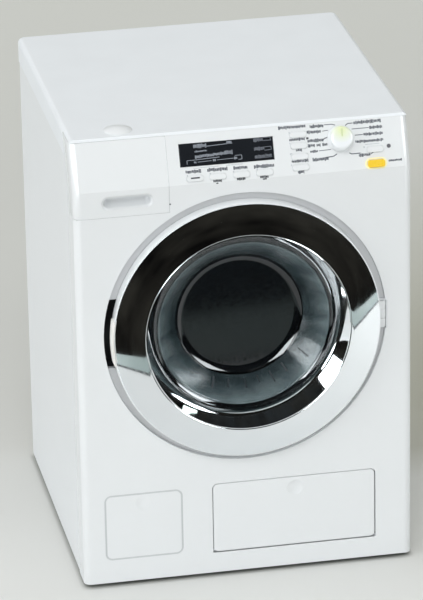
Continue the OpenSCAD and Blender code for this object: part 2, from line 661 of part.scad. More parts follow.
module drain_plug() color(dark_c) {
  yc(5.6, 91.1, 95.6, drain_at[0], drain_at[1]);
  yc(2.6, 83, 91.5, drain_at[0], drain_at[1]);
}

module battery_box() color(dark_c) difference() {
  union() {
    bx([-bay_x - 1.6, 64, bay_z[0] - 1.6], [bay_x + 1.6, 93.4, bay_z[1] + 1.6]);
  }
  bx([-bay_x, 65.6, bay_z[0]], [bay_x, 94, bay_z[1]]);
}

module battery_cover() color(white_c) difference() {
  union() {
    bx([-bay_x - 1.8, 95.5, bay_z[0] - 1.8], [bay_x + 1.8, 96.6, bay_z[1] + 1.8]);
    bx([-bay_x + 0.4, 94.2, bay_z[0] + 0.4], [bay_x - 0.4, 95.6, bay_z[1] - 0.4]);
  }
  for (i = [0:5]) bx([-12, 96.1, 74 - i * 2.4], [12, 99, 75.2 - i * 2.4]);
}

module speaker() color(dark_c) translate([-55, 10, 0]) {
  translate([0, 0, 9]) cylinder(r = 20, h = 3);
  translate([0, 0, 11.9]) cylinder(r1 = 18, r2 = 10, h = 6);
  translate([0, 0, 17.8]) cylinder(r = 10, h = 6);
}

base_tray();
rubber_feet();
case_screws();
cabinet_shell();
front_panel();
top_cover();
rear_cover();
trim_ring();
grip_cup();
hinge_block();
hinge_pin();
door_frame();
door_outer_ring();
door_inner_bezel();
door_bowl();
door_clamp_ring();
door_screws();
door_seal();
drawer_front();
detergent_drawer();
drawer_housing();
inlet_pipe();
display_lens();
display_module();
row_key_1();
row_key_2();
row_key_3();
row_key_4();
column_key_1();
column_key_2();
column_key_3();
column_key_4();
white_key();
start_key();
program_knob();
rotary_encoder();
keypad_mat();
control_board();
indicator_lens();
tub_front();
tub_rear();
drum();
drum_paddles();
drum_shaft();
shaft_bush();
drum_gear();
idler_gear();
idler_axle();
motor_pinion();
drive_motor();
gearbox_plate();
service_flap();
flap_pin();
flap_box();
filler_cap();
drain_pipe();
drain_plug();
battery_box();
battery_cover();
speaker();
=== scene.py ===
# Toy front-loading washing machine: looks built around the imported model. Metres, +Z up, the door faces -Y.
import bpy, bmesh, math, random
from mathutils import Matrix, Vector


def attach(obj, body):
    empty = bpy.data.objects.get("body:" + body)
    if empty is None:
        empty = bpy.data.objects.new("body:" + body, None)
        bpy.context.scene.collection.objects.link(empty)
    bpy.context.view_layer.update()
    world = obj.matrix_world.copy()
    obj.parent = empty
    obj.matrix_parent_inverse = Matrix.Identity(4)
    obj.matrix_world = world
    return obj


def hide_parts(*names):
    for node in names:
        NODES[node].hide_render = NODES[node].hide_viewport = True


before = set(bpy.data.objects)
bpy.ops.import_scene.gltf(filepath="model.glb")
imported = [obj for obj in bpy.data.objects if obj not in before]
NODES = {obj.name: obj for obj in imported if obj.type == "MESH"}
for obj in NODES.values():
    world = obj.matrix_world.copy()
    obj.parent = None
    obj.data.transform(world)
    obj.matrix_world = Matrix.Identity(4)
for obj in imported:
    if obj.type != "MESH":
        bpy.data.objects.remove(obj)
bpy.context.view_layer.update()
random.seed(7)
MM = 0.001

# ---------------------------------------------------------------- dimensions, mm
YF = -88.0            # flat front
CREASE = 233.5
LEAN = math.radians(22.9)
DOOR_Z = 148.1


def on_lean(x, s, out=0.0):
    """Point on the leaning zone: s up the lean from the crease, out in front of the surface."""
    return Vector((x, YF + s * math.sin(LEAN) - out * math.cos(LEAN),
                   CREASE + s * math.cos(LEAN) + out * math.sin(LEAN))) * MM


# ---------------------------------------------------------------- mesh helpers
def new_object(name, verts, faces, material=None, smooth=40):
    me = bpy.data.meshes.new(name)
    me.from_pydata([tuple(v) for v in verts], [], faces)
    me.validate()
    if material:
        me.materials.append(material)
    o = bpy.data.objects.new(name, me)
    bpy.context.scene.collection.objects.link(o)
    bm = bmesh.new()
    bm.from_mesh(me)
    bmesh.ops.recalc_face_normals(bm, faces=bm.faces)
    bm.to_mesh(me)
    bm.free()
    me.shade_smooth()
    me.set_sharp_from_angle(angle=math.radians(smooth))
    return o


def arc(cx, cy, r, a0, a1, n):
    """Points of an arc, degrees."""
    return [(cx + r * math.cos(math.radians(a0 + (a1 - a0) * i / n)),
             cy + r * math.sin(math.radians(a0 + (a1 - a0) * i / n))) for i in range(n + 1)]


def fillet(points, radii, n=5, closed=True):
    """Rounds the corners of a polygon. radii is one number or one for each point."""
    if not isinstance(radii, (list, tuple)):
        radii = [radii] * len(points)
    out, count = [], len(points)
    for i, p in enumerate(points):
        r = radii[i]
        if r <= 0 or (not closed and i in (0, count - 1)):
            out.append(p)
            continue
        a, b = Vector(points[i - 1]), Vector(points[(i + 1) % count])
        p = Vector(p)
        u, v = (a - p).normalized(), (b - p).normalized()
        ang = u.angle(v)
        if ang > math.radians(176):
            out.append(tuple(p))
            continue
        d = min(r / math.tan(ang / 2), (a - p).length * 0.48, (b - p).length * 0.48)
        r = d * math.tan(ang / 2)
        c = p + (u + v).normalized() * (r / math.sin(ang / 2))
        s, e = p + u * d - c, p + v * d - c
        sweep = s.angle(e)
        sign = 1 if s.x * e.y - s.y * e.x > 0 else -1
        for k in range(n + 1):
            t = sign * sweep * k / n
            q = Vector((s.x * math.cos(t) - s.y * math.sin(t), s.x * math.sin(t) + s.y * math.cos(t)))
            out.append(tuple(c + q))
    return out


def lathe(name, profile, material, seg=192, centre=(0, DOOR_Z), y0=YF, smooth=35):
    """Closed profile of (radius, depth) turned about an axis along Y."""
    cx, cz = centre
    verts, faces, rows = [], [], []
    for r, d in profile:
        if r < 1e-6:
            rows.append([len(verts)])
            verts.append((cx * MM, (y0 + d) * MM, cz * MM))
        else:
            rows.append(list(range(len(verts), len(verts) + seg)))
            for i in range(seg):
                a = 2 * math.pi * i / seg
                verts.append(((cx + r * math.cos(a)) * MM, (y0 + d) * MM, (cz + r * math.sin(a)) * MM))
    n = len(rows)
    for k in range(n):
        a, b = rows[k], rows[(k + 1) % n]
        if len(a) == 1 and len(b) == 1:
            continue
        for i in range(seg):
            j = (i + 1) % seg
            if len(a) == 1:
                faces.append((a[0], b[i], b[j]))
            elif len(b) == 1:
                faces.append((a[i], b[0], a[j]))
            else:
                faces.append((a[i], b[i], b[j], a[j]))
    return new_object(name, verts, faces, material, smooth)


def local_lathe(name, profile, material, matrix, seg=96, smooth=35):
    """Closed profile of (radius, height) in mm, turned about local +Z and placed by a matrix."""
    o = lathe(name, [(r, h) for r, h in profile], material, seg, (0, 0), 0, smooth)
    o.data.transform(matrix @ Matrix.Rotation(math.radians(90), 4, "X"))
    return o


def rounded_outline(w, h, r, n=6):
    r = min(r, w / 2 - 0.001, h / 2 - 0.001)
    pts = []
    for cx, cy, a in ((w / 2 - r, h / 2 - r, 0), (-w / 2 + r, h / 2 - r, 90),
                      (-w / 2 + r, -h / 2 + r, 180), (w / 2 - r, -h / 2 + r, 270)):
        pts += arc(cx, cy, r, a, a + 90, n)
    return pts


def loft(name, rings, material, smooth=35, cap=True):
    """Rings of equally many points, in metres, joined in order and capped at both ends."""
    verts, faces = [], []
    n = len(rings[0])
    for ring in rings:
        verts += [tuple(p) for p in ring]
    for k in range(len(rings) - 1):
        for i in range(n):
            j = (i + 1) % n
            faces.append((k * n + i, k * n + j, (k + 1) * n + j, (k + 1) * n + i))
    if cap:
        faces.append(tuple(range(n)))
        faces.append(tuple(range((len(rings) - 1) * n, len(rings) * n)))
    return new_object(name, verts, faces, material, smooth)


def prism(name, profile, x0, x1, material, smooth=35):
    """Profile of (y, z) in mm drawn out along X."""
    n = len(profile)
    verts = [Vector((x, y, z)) * MM for x in (x0, x1) for y, z in profile]
    faces = [(i, (i + 1) % n, n + (i + 1) % n, n + i) for i in range(n)] + [tuple(range(n)), tuple(range(n, 2 * n))]
    return new_object(name, verts, faces, material, smooth)


def slab_mesh(name, quads, material):
    """Many thin plates in one mesh: each entry is eight corners, bottom four then top four."""
    verts, faces = [], []
    for q in quads:
        k = len(verts)
        verts += q
        faces += [tuple(k + j for j in f) for f in ((0, 1, 2, 3), (4, 5, 6, 7), (0, 1, 5, 4), (1, 2, 6, 5), (2, 3, 7, 6), (3, 0, 4, 7))]
    return new_object(name, verts, faces, material, 30)


# ---------------------------------------------------------------- materials
def rgb(r, g, b):
    """sRGB 0-255 to linear."""
    def f(c):
        c /= 255
        return c / 12.92 if c <= 0.04045 else ((c + 0.055) / 1.055) ** 2.4
    return (f(r), f(g), f(b), 1)


def base_material(name):
    m = bpy.data.materials.new(name)
    m.use_nodes = True
    nt = m.node_tree
    b = nt.nodes["Principled BSDF"]
    tc = nt.nodes.new("ShaderNodeTexCoord")
    return m, nt, b, tc.outputs["Object"]


def noise(nt, coord, scale, detail=3.0, rough=0.5, stretch=None):
    n = nt.nodes.new("ShaderNodeTexNoise")
    n.inputs["Scale"].default_value = scale
    n.inputs["Detail"].default_value = detail
    n.inputs["Roughness"].default_value = rough
    if stretch:
        mp = nt.nodes.new("ShaderNodeMapping")
        mp.inputs["Scale"].default_value = stretch
        nt.links.new(coord, mp.inputs["Vector"])
        coord = mp.outputs["Vector"]
    nt.links.new(coord, n.inputs["Vector"])
    return n.outputs["Fac"]


def remap(nt, value, lo, hi, a=0.0, b=1.0):
    m = nt.nodes.new("ShaderNodeMapRange")
    m.inputs["From Min"].default_value = a
    m.inputs["From Max"].default_value = b
    m.inputs["To Min"].default_value = lo
    m.inputs["To Max"].default_value = hi
    nt.links.new(value, m.inputs["Value"])
    return m.outputs["Result"]


def mix_colour(nt, fac, a, b):
    m = nt.nodes.new("ShaderNodeMix")
    m.data_type = "RGBA"
    m.inputs["A"].default_value = a
    m.inputs["B"].default_value = b
    nt.links.new(fac, m.inputs["Factor"])
    return m.outputs["Result"]


def bump(nt, bsdf, height, strength, distance):
    b = nt.nodes.new("ShaderNodeBump")
    b.inputs["Strength"].default_value = strength
    b.inputs["Distance"].default_value = distance
    nt.links.new(height, b.inputs["Height"])
    nt.links.new(b.outputs["Normal"], bsdf.inputs["Normal"])
    return b


def moulded(name, colour, rough=0.32, vary=0.03, spec=0.5, coat=0.0, wave=0.00006):
    """Injection-moulded plastic: slow thickness waves, faint tone changes and a fine uneven gloss."""
    m, nt, b, co = base_material(name)
    dark = tuple(c * (1 - vary) for c in colour[:3]) + (1,)
    slow = noise(nt, co, 11, 1)
    tone = noise(nt, co, 38, 3, 0.5)
    gloss = noise(nt, co, 900, 2, 0.6)
    nt.links.new(mix_colour(nt, remap(nt, tone, 0, 1, 0.25, 0.75), dark, colour), b.inputs["Base Color"])
    nt.links.new(remap(nt, gloss, rough * 0.94, rough * 1.06, 0.2, 0.8), b.inputs["Roughness"])
    b.inputs["Specular IOR Level"].default_value = spec
    if coat:
        b.inputs["Coat Weight"].default_value = coat
        b.inputs["Coat Roughness"].default_value = 0.08
    bump(nt, b, slow, 1.0, wave)
    return m


def chromed(name, colour, rough=0.045):
    """Vacuum-metallised plastic: mirror coat over faint mould waves and hairline scuffs."""
    m, nt, b, co = base_material(name)
    b.inputs["Metallic"].default_value = 1.0
    cloud = noise(nt, co, 45, 4)
    hair = noise(nt, co, 900, 2, 0.6, (1, 1, 0.08))
    nt.links.new(mix_colour(nt, cloud, tuple(c * 0.93 for c in colour[:3]) + (1,), colour), b.inputs["Base Color"])
    nt.links.new(remap(nt, hair, rough * 0.7, rough * 1.6, 0.35, 0.75), b.inputs["Roughness"])
    bump(nt, b, noise(nt, co, 60, 1), 0.5, 0.00006)
    return m


def brushed(name, colour, rough=0.3, stretch=(1, 0.04, 1), metal=1.0):
    """Brushed or rolled steel: long fine scratches and cloudy tone."""
    m, nt, b, co = base_material(name)
    b.inputs["Metallic"].default_value = metal
    fine = noise(nt, co, 1800, 3, 0.6, stretch)
    cloud = noise(nt, co, 60, 3)
    nt.links.new(mix_colour(nt, cloud, tuple(c * 0.8 for c in colour[:3]) + (1,), colour), b.inputs["Base Color"])
    nt.links.new(remap(nt, fine, rough * 0.7, rough * 1.3, 0.3, 0.7), b.inputs["Roughness"])
    bump(nt, b, fine, 0.4, 0.00003)
    return m


def rubber(name, colour, rough=0.6):
    m, nt, b, co = base_material(name)
    spots = noise(nt, co, 1500, 3, 0.7)
    slow = noise(nt, co, 30, 3)
    nt.links.new(mix_colour(nt, slow, tuple(c * 0.75 for c in colour[:3]) + (1,), colour), b.inputs["Base Color"])
    nt.links.new(remap(nt, spots, rough * 0.85, rough * 1.15, 0.3, 0.7), b.inputs["Roughness"])
    b.inputs["Specular IOR Level"].default_value = 0.35
    bump(nt, b, spots, 0.5, 0.00005)
    return m


def clear(name, colour, rough=0.02, ior=1.49, waves=0.00003, through=1.0):
    """Clear moulded plastic with slight ripples from the mould."""
    m, nt, b, co = base_material(name)
    b.inputs["Transmission Weight"].default_value = through
    b.inputs["IOR"].default_value = ior
    ripple = noise(nt, co, 55, 2)
    nt.links.new(mix_colour(nt, ripple, tuple(c * 0.9 for c in colour[:3]) + (1,), colour), b.inputs["Base Color"])
    nt.links.new(remap(nt, noise(nt, co, 700, 2), rough * 0.6, rough * 1.6, 0.3, 0.7), b.inputs["Roughness"])
    bump(nt, b, ripple, 0.6, waves)
    return m


def ink(name, colour, rough=0.45):
    """Pad-printed ink with slightly broken cover."""
    m, nt, b, co = base_material(name)
    break_up = noise(nt, co, 2200, 2, 0.7)
    nt.links.new(mix_colour(nt, remap(nt, break_up, 0, 1, 0.3, 0.75), tuple(min(1, c * 1.5 + 0.02) for c in colour[:3]) + (1,), colour),
                 b.inputs["Base Color"])
    nt.links.new(remap(nt, break_up, rough * 0.8, rough * 1.2), b.inputs["Roughness"])
    bump(nt, b, break_up, 0.3, 0.00001)
    return m


WHITE = rgb(234, 236, 238)
M = {
    "white_plastic": moulded("white_plastic", WHITE, 0.30, vary=0.012),
    "panel_white": moulded("panel_white", WHITE, 0.26, vary=0.008),
    "inner_plastic": moulded("inner_plastic", rgb(214, 216, 217), 0.42, vary=0.04),
    "chrome_plastic": chromed("chrome_plastic", rgb(238, 240, 241)),
    "smoked_clear": clear("smoked_clear", rgb(138, 160, 168)),
    "frosted_rim_painted_light": clear("frosted_rim_painted_light", rgb(150, 170, 176), rough=0.14, through=0.72),
    "smoked_pane": clear("smoked_pane", rgb(44, 50, 54), rough=0.07, ior=1.6, waves=0.000008),
    "grey_trim": moulded("grey_trim", rgb(206, 207, 209), 0.36, vary=0.03),
    "dark_plastic": moulded("dark_plastic", rgb(46, 47, 49), 0.42, vary=0.15),
    "black_rubber": rubber("black_rubber", rgb(38, 38, 40)),
    "grey_rubber": rubber("grey_rubber", rgb(92, 96, 100), 0.5),
    "steel": brushed("steel", rgb(196, 199, 203), 0.26),
    "brass": brushed("brass", rgb(206, 168, 92), 0.28),
    "display_plastic": moulded("display_plastic", rgb(30, 33, 38), 0.12, vary=0.1, coat=0.6),
    "yellow_plastic": moulded("yellow_plastic", rgb(252, 208, 30), 0.28, vary=0.04),
    # painted light: the top cover's white is lighter than the other white parts, making up for the light that falls on
    # the top
    "top_white_painted_light": moulded("top_white_painted_light", rgb(242, 245, 249)),
    "lens_red": moulded("lens_red", rgb(112, 111, 116), 0.16, vary=0.1),
    "board_green": moulded("board_green", rgb(24, 92, 52), 0.4, vary=0.15),
    "tub_plastic": moulded("tub_plastic", rgb(118, 124, 130), 0.45, vary=0.08),
    "drum_plastic": brushed("drum_plastic", rgb(176, 182, 188), 0.34, metal=0.3),
    "gear_plastic": moulded("gear_plastic", rgb(228, 221, 196), 0.38, vary=0.04),
    "ink_dark": ink("ink_dark", rgb(66, 70, 79)),
    "ink_black": ink("ink_black", rgb(34, 36, 42)),
    "ink_grey": ink("ink_grey", rgb(168, 172, 178)),
    "screen_mark": ink("screen_mark", rgb(112, 117, 126)),
    "screen_mark_dim": ink("screen_mark_dim", rgb(72, 76, 85)),
    # painted glow for the start key's halo, made with the ink shader
    "ink_glow": ink("ink_glow", rgb(247, 238, 176)),
}

# ---------------------------------------------------------------- carried-over CAD pieces
NODE_MATERIAL = {
    # grip_cup gets dark plastic as painted shade: it darkens the deep finger slot beside the door
    "base_tray": "inner_plastic", "rubber_feet": "black_rubber", "case_screws": "steel",
    "cabinet_shell": "white_plastic", "front_panel": "panel_white", "top_cover": "top_white_painted_light",
    "rear_cover": "white_plastic", "trim_ring": "grey_trim", "grip_cup": "dark_plastic",
    "hinge_block": "white_plastic", "hinge_pin": "steel", "door_frame": "white_plastic",
    "door_outer_ring": "chrome_plastic", "door_inner_bezel": "chrome_plastic", "door_bowl": "smoked_clear",
    "door_clamp_ring": "inner_plastic", "door_screws": "steel", "door_seal": "grey_rubber",
    "drawer_front": "panel_white", "detergent_drawer": "white_plastic", "drawer_housing": "inner_plastic",
    "inlet_pipe": "black_rubber", "display_lens": "display_plastic", "display_module": "dark_plastic",
    "white_key": "panel_white", "start_key": "yellow_plastic", "program_knob": "panel_white",
    "rotary_encoder": "board_green", "keypad_mat": "grey_rubber", "control_board": "board_green",
    "indicator_lens": "lens_red", "tub_front": "tub_plastic", "tub_rear": "tub_plastic",
    "drum": "drum_plastic", "drum_paddles": "tub_plastic", "drum_shaft": "steel", "shaft_bush": "brass",
    "drum_gear": "gear_plastic", "idler_gear": "gear_plastic", "idler_axle": "steel",
    "motor_pinion": "brass", "drive_motor": "steel", "gearbox_plate": "inner_plastic",
    "service_flap": "panel_white", "flap_pin": "steel", "flap_box": "inner_plastic",
    "filler_cap": "white_plastic", "drain_pipe": "black_rubber", "drain_plug": "black_rubber",
    "battery_box": "dark_plastic", "battery_cover": "white_plastic", "speaker": "dark_plastic",
}
for i in range(1, 5):
    NODE_MATERIAL["row_key_%d" % i] = NODE_MATERIAL["column_key_%d" % i] = "panel_white"

# edge rounding in mm for the pieces whose edges show
BEVEL = {
    "front_panel": 0.22, "top_cover": 0.22, "cabinet_shell": 0.4, "drawer_front": 0.22, "service_flap": 0.9,
    "battery_cover": 0.3, "base_tray": 0.4, "door_frame": 0.35, "trim_ring": 0.25,
    "hinge_block": 0.25, "detergent_drawer": 0.3, "flap_box": 0.3, "filler_cap": 0.3,
    "grip_cup": 0.3, "rubber_feet": 0.5, "case_screws": 0.12, "door_clamp_ring": 0.3, "door_screws": 0.15,
    "display_lens": 0.15, "tub_front": 0.5, "tub_rear": 0.5, "battery_box": 0.3, "drain_plug": 0.4,
    "hinge_pin": 0.15, "gearbox_plate": 0.3, "speaker": 0.3, "drive_motor": 0.4,
}
for name in NODE_MATERIAL:
    if name.endswith("_key") or "_key_" in name:
        BEVEL[name] = 0.25

for name, o in NODES.items():
    o.data.materials.clear()
    o.data.materials.append(M[NODE_MATERIAL[name]])
    w = o.modifiers.new("weld", "WELD")
    w.merge_threshold = 0.000004
    if name in BEVEL:
        d = o.modifiers.new("flats", "DECIMATE")
        d.decimate_type = "DISSOLVE"
        d.angle_limit = math.radians(0.6)
        b = o.modifiers.new("edges", "BEVEL")
        b.width = BEVEL[name] * MM
        b.segments = 3
        b.limit_method = "ANGLE"
        b.angle_limit = math.radians(38)
        b.harden_normals = False
        b.miter_outer = "MITER_ARC"

# ---------------------------------------------------------------- door
def door_piece(name, profile, material, node, seg=256, smooth=30):
    o = lathe(name, profile, M[material], seg, smooth=smooth)
    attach(o, "door")
    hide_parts(node)
    return o


def bowed(a, b, sag, n=10):
    """Points from a to b on a shallow arc that bulges by sag to the left of the way."""
    (x0, y0), (x1, y1) = a, b
    dx, dy = x1 - x0, y1 - y0
    l = math.hypot(dx, dy)
    return [(x0 + dx * t + -dy / l * sag * 4 * t * (1 - t), y0 + dy * t + dx / l * sag * 4 * t * (1 - t))
            for t in [i / n for i in range(n + 1)]]


ring_front = bowed((73.35, -5.75), (57.45, -8.93), 0.36, 16)
ring = [(73.4, -5.3), (73.4, -5.6)] + ring_front + arc(57.0, -8.5, 0.5, -75, -150, 6) + [(56.1, -8.6), (56.1, -7.3), (57, -7.3), (71.8, -4.2), (71.8, -5.3)]
ring = [q for i, q in enumerate(ring) if i == 0 or math.dist(q, ring[i - 1]) > 0.02]
door_piece("chrome_ring", ring, "chrome_plastic", "door_outer_ring")

slope = [math.radians(49 + 28 * ((k + 0.5) / 48) ** 2.0) for k in range(48)]
step = 13.92 / sum(math.sin(a) for a in slope)
MOUTH = [(56.0, -8.97)]
for a in slope:
    MOUTH.append((MOUTH[-1][0] - step * math.cos(a), MOUTH[-1][1] + step * math.sin(a)))
funnel = [(56.4, -8.9)] + MOUTH + [(MOUTH[-1][0], 4.95), (48.6, 4.95), (50.4, 0.4), (52.4, -3.2), (56.4, -7.2)]
door_piece("chrome_funnel", funnel, "chrome_plastic", "door_inner_bezel")

inner = fillet([(54.85, 5.05), (46.9, 5.05), (33.7, 19.95), (0, 19.95)], [0, 1.0, 6.5, 0], 14, closed=False)
outer = fillet([(0, 21.55), (34.6, 21.55), (47.9, 7.15), (54.85, 7.15)], [0, 5.2, 1.0, 0], 14, closed=False)


def cut_at(path, r):
    """Point of a path at radius r."""
    for a, b in zip(path, path[1:]):
        if (a[0] - r) * (b[0] - r) <= 0 and a[0] != b[0]:
            t = (r - a[0]) / (b[0] - a[0])
            return (r, a[1] + (b[1] - a[1]) * t)


def bowl_part(name, r_in, r_out, material):
    """Share of the bowl between two radii."""
    pts = [] if r_out > 54 else [cut_at(inner, r_out)]
    pts += [q for q in inner if r_in < q[0] < (r_out if r_out < 54 else 99)]
    pts += [(0, 19.95), (0, 21.55)] if r_in == 0 else [cut_at(inner, r_in), cut_at(outer, r_in)]
    pts += [q for q in outer if r_in < q[0] < (r_out if r_out < 54 else 99)]
    pts += [] if r_out > 54 else [cut_at(outer, r_out)]
    o = door_piece(name, pts, "smoked_clear", "door_bowl", 224, 40)
    o.data.materials[0] = M[material]
    return o


bowl_part("door_pane", 0, 35.6, "smoked_pane")
# painted light: the wall of the bowl is painted darker towards the pane and streaked, standing in for the light
# refracted and reflected in the bowl
m = M["frosted_rim_painted_light"]
nt = m.node_tree
place = nt.nodes.new("ShaderNodeMapping")
place.inputs["Location"].default_value = (0, 0, -DOOR_Z * MM)
place.inputs["Scale"].default_value = (1, 0, 1)
nt.links.new(nt.nodes.new("ShaderNodeTexCoord").outputs["Object"], place.inputs["Vector"])
radius = nt.nodes.new("ShaderNodeVectorMath")
radius.operation = "LENGTH"
nt.links.new(place.outputs["Vector"], radius.inputs[0])
tint = remap(nt, radius.outputs["Value"], 0, 1, 0.0385, 0.0475)
painted_streaks = remap(nt, noise(nt, place.outputs["Vector"], 48, 3, 0.6, (1, 1, 2.5)), 0, 1, 0.38, 0.62)
both = nt.nodes.new("ShaderNodeMix")
both.data_type = "RGBA"
nt.links.new(painted_streaks, both.inputs["Factor"])
nt.links.new(mix_colour(nt, tint, rgb(58, 72, 77), rgb(128, 146, 151)), both.inputs["A"])
nt.links.new(mix_colour(nt, tint, rgb(84, 100, 104), rgb(172, 188, 190)), both.inputs["B"])
nt.links.new(both.outputs["Result"], nt.nodes["Principled BSDF"].inputs["Base Color"])
bowl_part("door_bowl_wall", 35.64, 60, "frosted_rim_painted_light")

# short snap ribs on the lower wall of the bowl
M["rib_dark"] = moulded("rib_dark", rgb(44, 50, 54), 0.35, vary=0.05)
verts, faces = [], []
for angle, r0, r1 in ((246, 37.6, 42.2), (259, 37.4, 40.6), (273, 37.2, 41.0), (284, 37.4, 40.2), (295, 37.6, 42.2), (307, 37.4, 41.4), (326, 38.4, 43.6)):
    radial = Vector((math.cos(math.radians(angle)), 0, math.sin(math.radians(angle))))
    across = Vector((-radial.z, 0, radial.x)) * 0.42
    k = len(verts)
    for r, up in ((r0, 0.55), (r1, 0.55), (r1, -0.3), (r0, -0.3)):
        y = cut_at(inner, r)[1]
        for side in (-1, 1):
            verts.append((radial * r + across * side + Vector((0, YF + y - up, DOOR_Z))) * MM)
    faces += [(k, k + 2, k + 3, k + 1), (k + 2, k + 4, k + 5, k + 3), (k + 4, k + 6, k + 7, k + 5), (k + 6, k, k + 1, k + 7),
              (k, k + 6, k + 4, k + 2), (k + 1, k + 3, k + 5, k + 7)]
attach(new_object("bowl_ribs", verts, faces, M["rib_dark"], 20), "door")

seal = fillet([(60.4, 5.4), (63.3, 5.4), (63.3, 7.2), (62.0, 8.6), (63.5, 11.0), (62.0, 13.4), (63.3, 15.6), (63.3, 17.8), (53.2, 17.8),
               (52.45, 16.6), (53.2, 15.7), (60.4, 15.7), (61.1, 13.3), (60.5, 11.2), (61.1, 9.2), (60.4, 7.6)],
              [0.4, 0.5, 0.6, 0.7, 1.2, 0.7, 0.6, 0.8, 0.5, 0.5, 0.5, 0.8, 0.8, 0.8, 0.8, 0.6], 5)
o = lathe("door_gasket", seal, M["grey_rubber"], 224, smooth=40)
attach(o, "cabinet")
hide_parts("door_seal")

# ---------------------------------------------------------------- wash drum
def drum_wall(name, r_out, r_in, rib, y_a, y_b, cols, material):
    """Turned wall with a shallow lengthwise rib every few degrees, fading out at both ends."""
    rows = [(0, 0), (1.5, 0.2), (4, 0.85), (8, 1), (y_b - y_a - 8, 1), (y_b - y_a - 4, 0.85), (y_b - y_a - 1.5, 0.2), (y_b - y_a, 0)]
    verts, faces = [], []
    n = cols * 6
    for d, share in rows:
        for k in range(n):
            a = 2 * math.pi * k / n
            r = r_in - rib * share * (0, 0.35, 1, 1, 0.35, 0)[k % 6]
            verts.append(Vector((r * math.cos(a), YF + y_a + d, DOOR_Z + r * math.sin(a))) * MM)
    for d in (y_b, y_a):
        for k in range(n):
            a = 2 * math.pi * k / n
            verts.append(Vector((r_out * math.cos(a), YF + d, DOOR_Z + r_out * math.sin(a))) * MM)
    m = len(rows) + 2
    for q in range(m):
        for k in range(n):
            faces.append((q * n + k, q * n + (k + 1) % n, ((q + 1) % m) * n + (k + 1) % n, ((q + 1) % m) * n + k))
    return new_object(name, verts, faces, material, 50)


for o in (drum_wall("drum_wall", 71.35, 70.05, 0.8, 24.5, 114.5, 30, M["drum_plastic"]),
          lathe("drum_front_lip", fillet([(57.05, 22.05), (71.35, 22.05), (71.35, 24.6), (70.05, 24.6), (69.2, 23.6), (57.05, 23.45)],
                                         [0.6, 1.2, 0.1, 0.1, 0.6, 0.6], 4), M["drum_plastic"], 144),
          lathe("drum_back", fillet([(4.05, 117.95), (4.05, 108.05), (10.9, 108.05), (13.5, 114.6), (30, 112.6), (44, 115.6), (58, 113.4),
                                     (67, 115.4), (70.05, 114.4), (71.35, 114.4), (71.35, 117.95)],
                                    [0, 0.5, 1.0, 3, 6, 6, 6, 2, 0.1, 0.1, 1.4], 5), M["drum_plastic"], 144)):
    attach(o, "drum_assembly")
    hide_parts("drum")


def paddle(name, degrees):
    """Rounded lifting rib, higher at the middle of the drum."""
    rings = []
    rows = [(-62.0, 0.0), (-60.5, 5.5), (-57, 9.0), (-50, 10.6), (-30, 11.3), (-10, 11.3), (10, 11.0), (20, 9.4), (24.5, 6.0), (26.0, 0.0)]
    m = Matrix.Rotation(math.radians(90 - degrees), 4, "Y")
    for y, h in rows:
        sec = []
        for k in range(17):
            t = -1 + k / 8
            w = 8.2 * t
            lift = h * (1 - abs(t) ** 2.6) ** 0.8
            base = math.sqrt(69.9 ** 2 - w ** 2)
            sec.append((w, base - lift))
        sec += [(8.2 * (1 - k / 4), math.sqrt(69.95 ** 2 - (8.2 * (1 - k / 4)) ** 2)) for k in range(0, 9)]
        rings.append([m @ Vector((w, y, r)) * MM + Vector((0, 0, DOOR_Z * MM)) for w, r in sec])
    o = loft(name, rings, M["tub_plastic"], 40)
    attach(o, "drum_assembly")
    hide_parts("drum_paddles")
    return o


for i, a in enumerate((90, 210, 330)):
    paddle("paddle_%d" % (i + 1), a)

# ---------------------------------------------------------------- programme knob
def lean_matrix(x, s, out):
    """Local +Z out of the leaning zone, +Y up it, +X to the right."""
    y = Vector((0, math.sin(LEAN), math.cos(LEAN)))
    z = Vector((0, -math.cos(LEAN), math.sin(LEAN)))
    m = Matrix((Vector((1, 0, 0)), y, z)).transposed().to_4x4()
    m.translation = on_lean(x, s, out)
    return m


KNOB = (54.5, 17.7)


def knob_material():
    """White cap, a touch lighter than the cabinet white to soften its shading, with a painted glow: a pale
    yellow-green tint near the pointer stands in for the light from inside.
    """
    m = moulded("knob_white", rgb(237, 240, 243), 0.4, vary=0.01)
    nt = m.node_tree
    b = nt.nodes["Principled BSDF"]
    co = nt.nodes["Texture Coordinate"].outputs["Object"]
    tip = on_lean(KNOB[0], KNOB[1] + 4.4, 6.5)
    sub = nt.nodes.new("ShaderNodeVectorMath")
    sub.operation = "DISTANCE"
    sub.inputs[1].default_value = tip
    nt.links.new(co, sub.inputs[0])
    near = remap(nt, sub.outputs["Value"], 1.0, 0.0, 0.0008, 0.0072)
    old = b.inputs["Base Color"].links[0].from_socket
    mix = nt.nodes.new("ShaderNodeMix")
    mix.data_type = "RGBA"
    nt.links.new(near, mix.inputs["Factor"])
    nt.links.new(old, mix.inputs["A"])
    mix.inputs["B"].default_value = rgb(232, 240, 190)
    nt.links.new(mix.outputs["Result"], b.inputs["Base Color"])
    return m


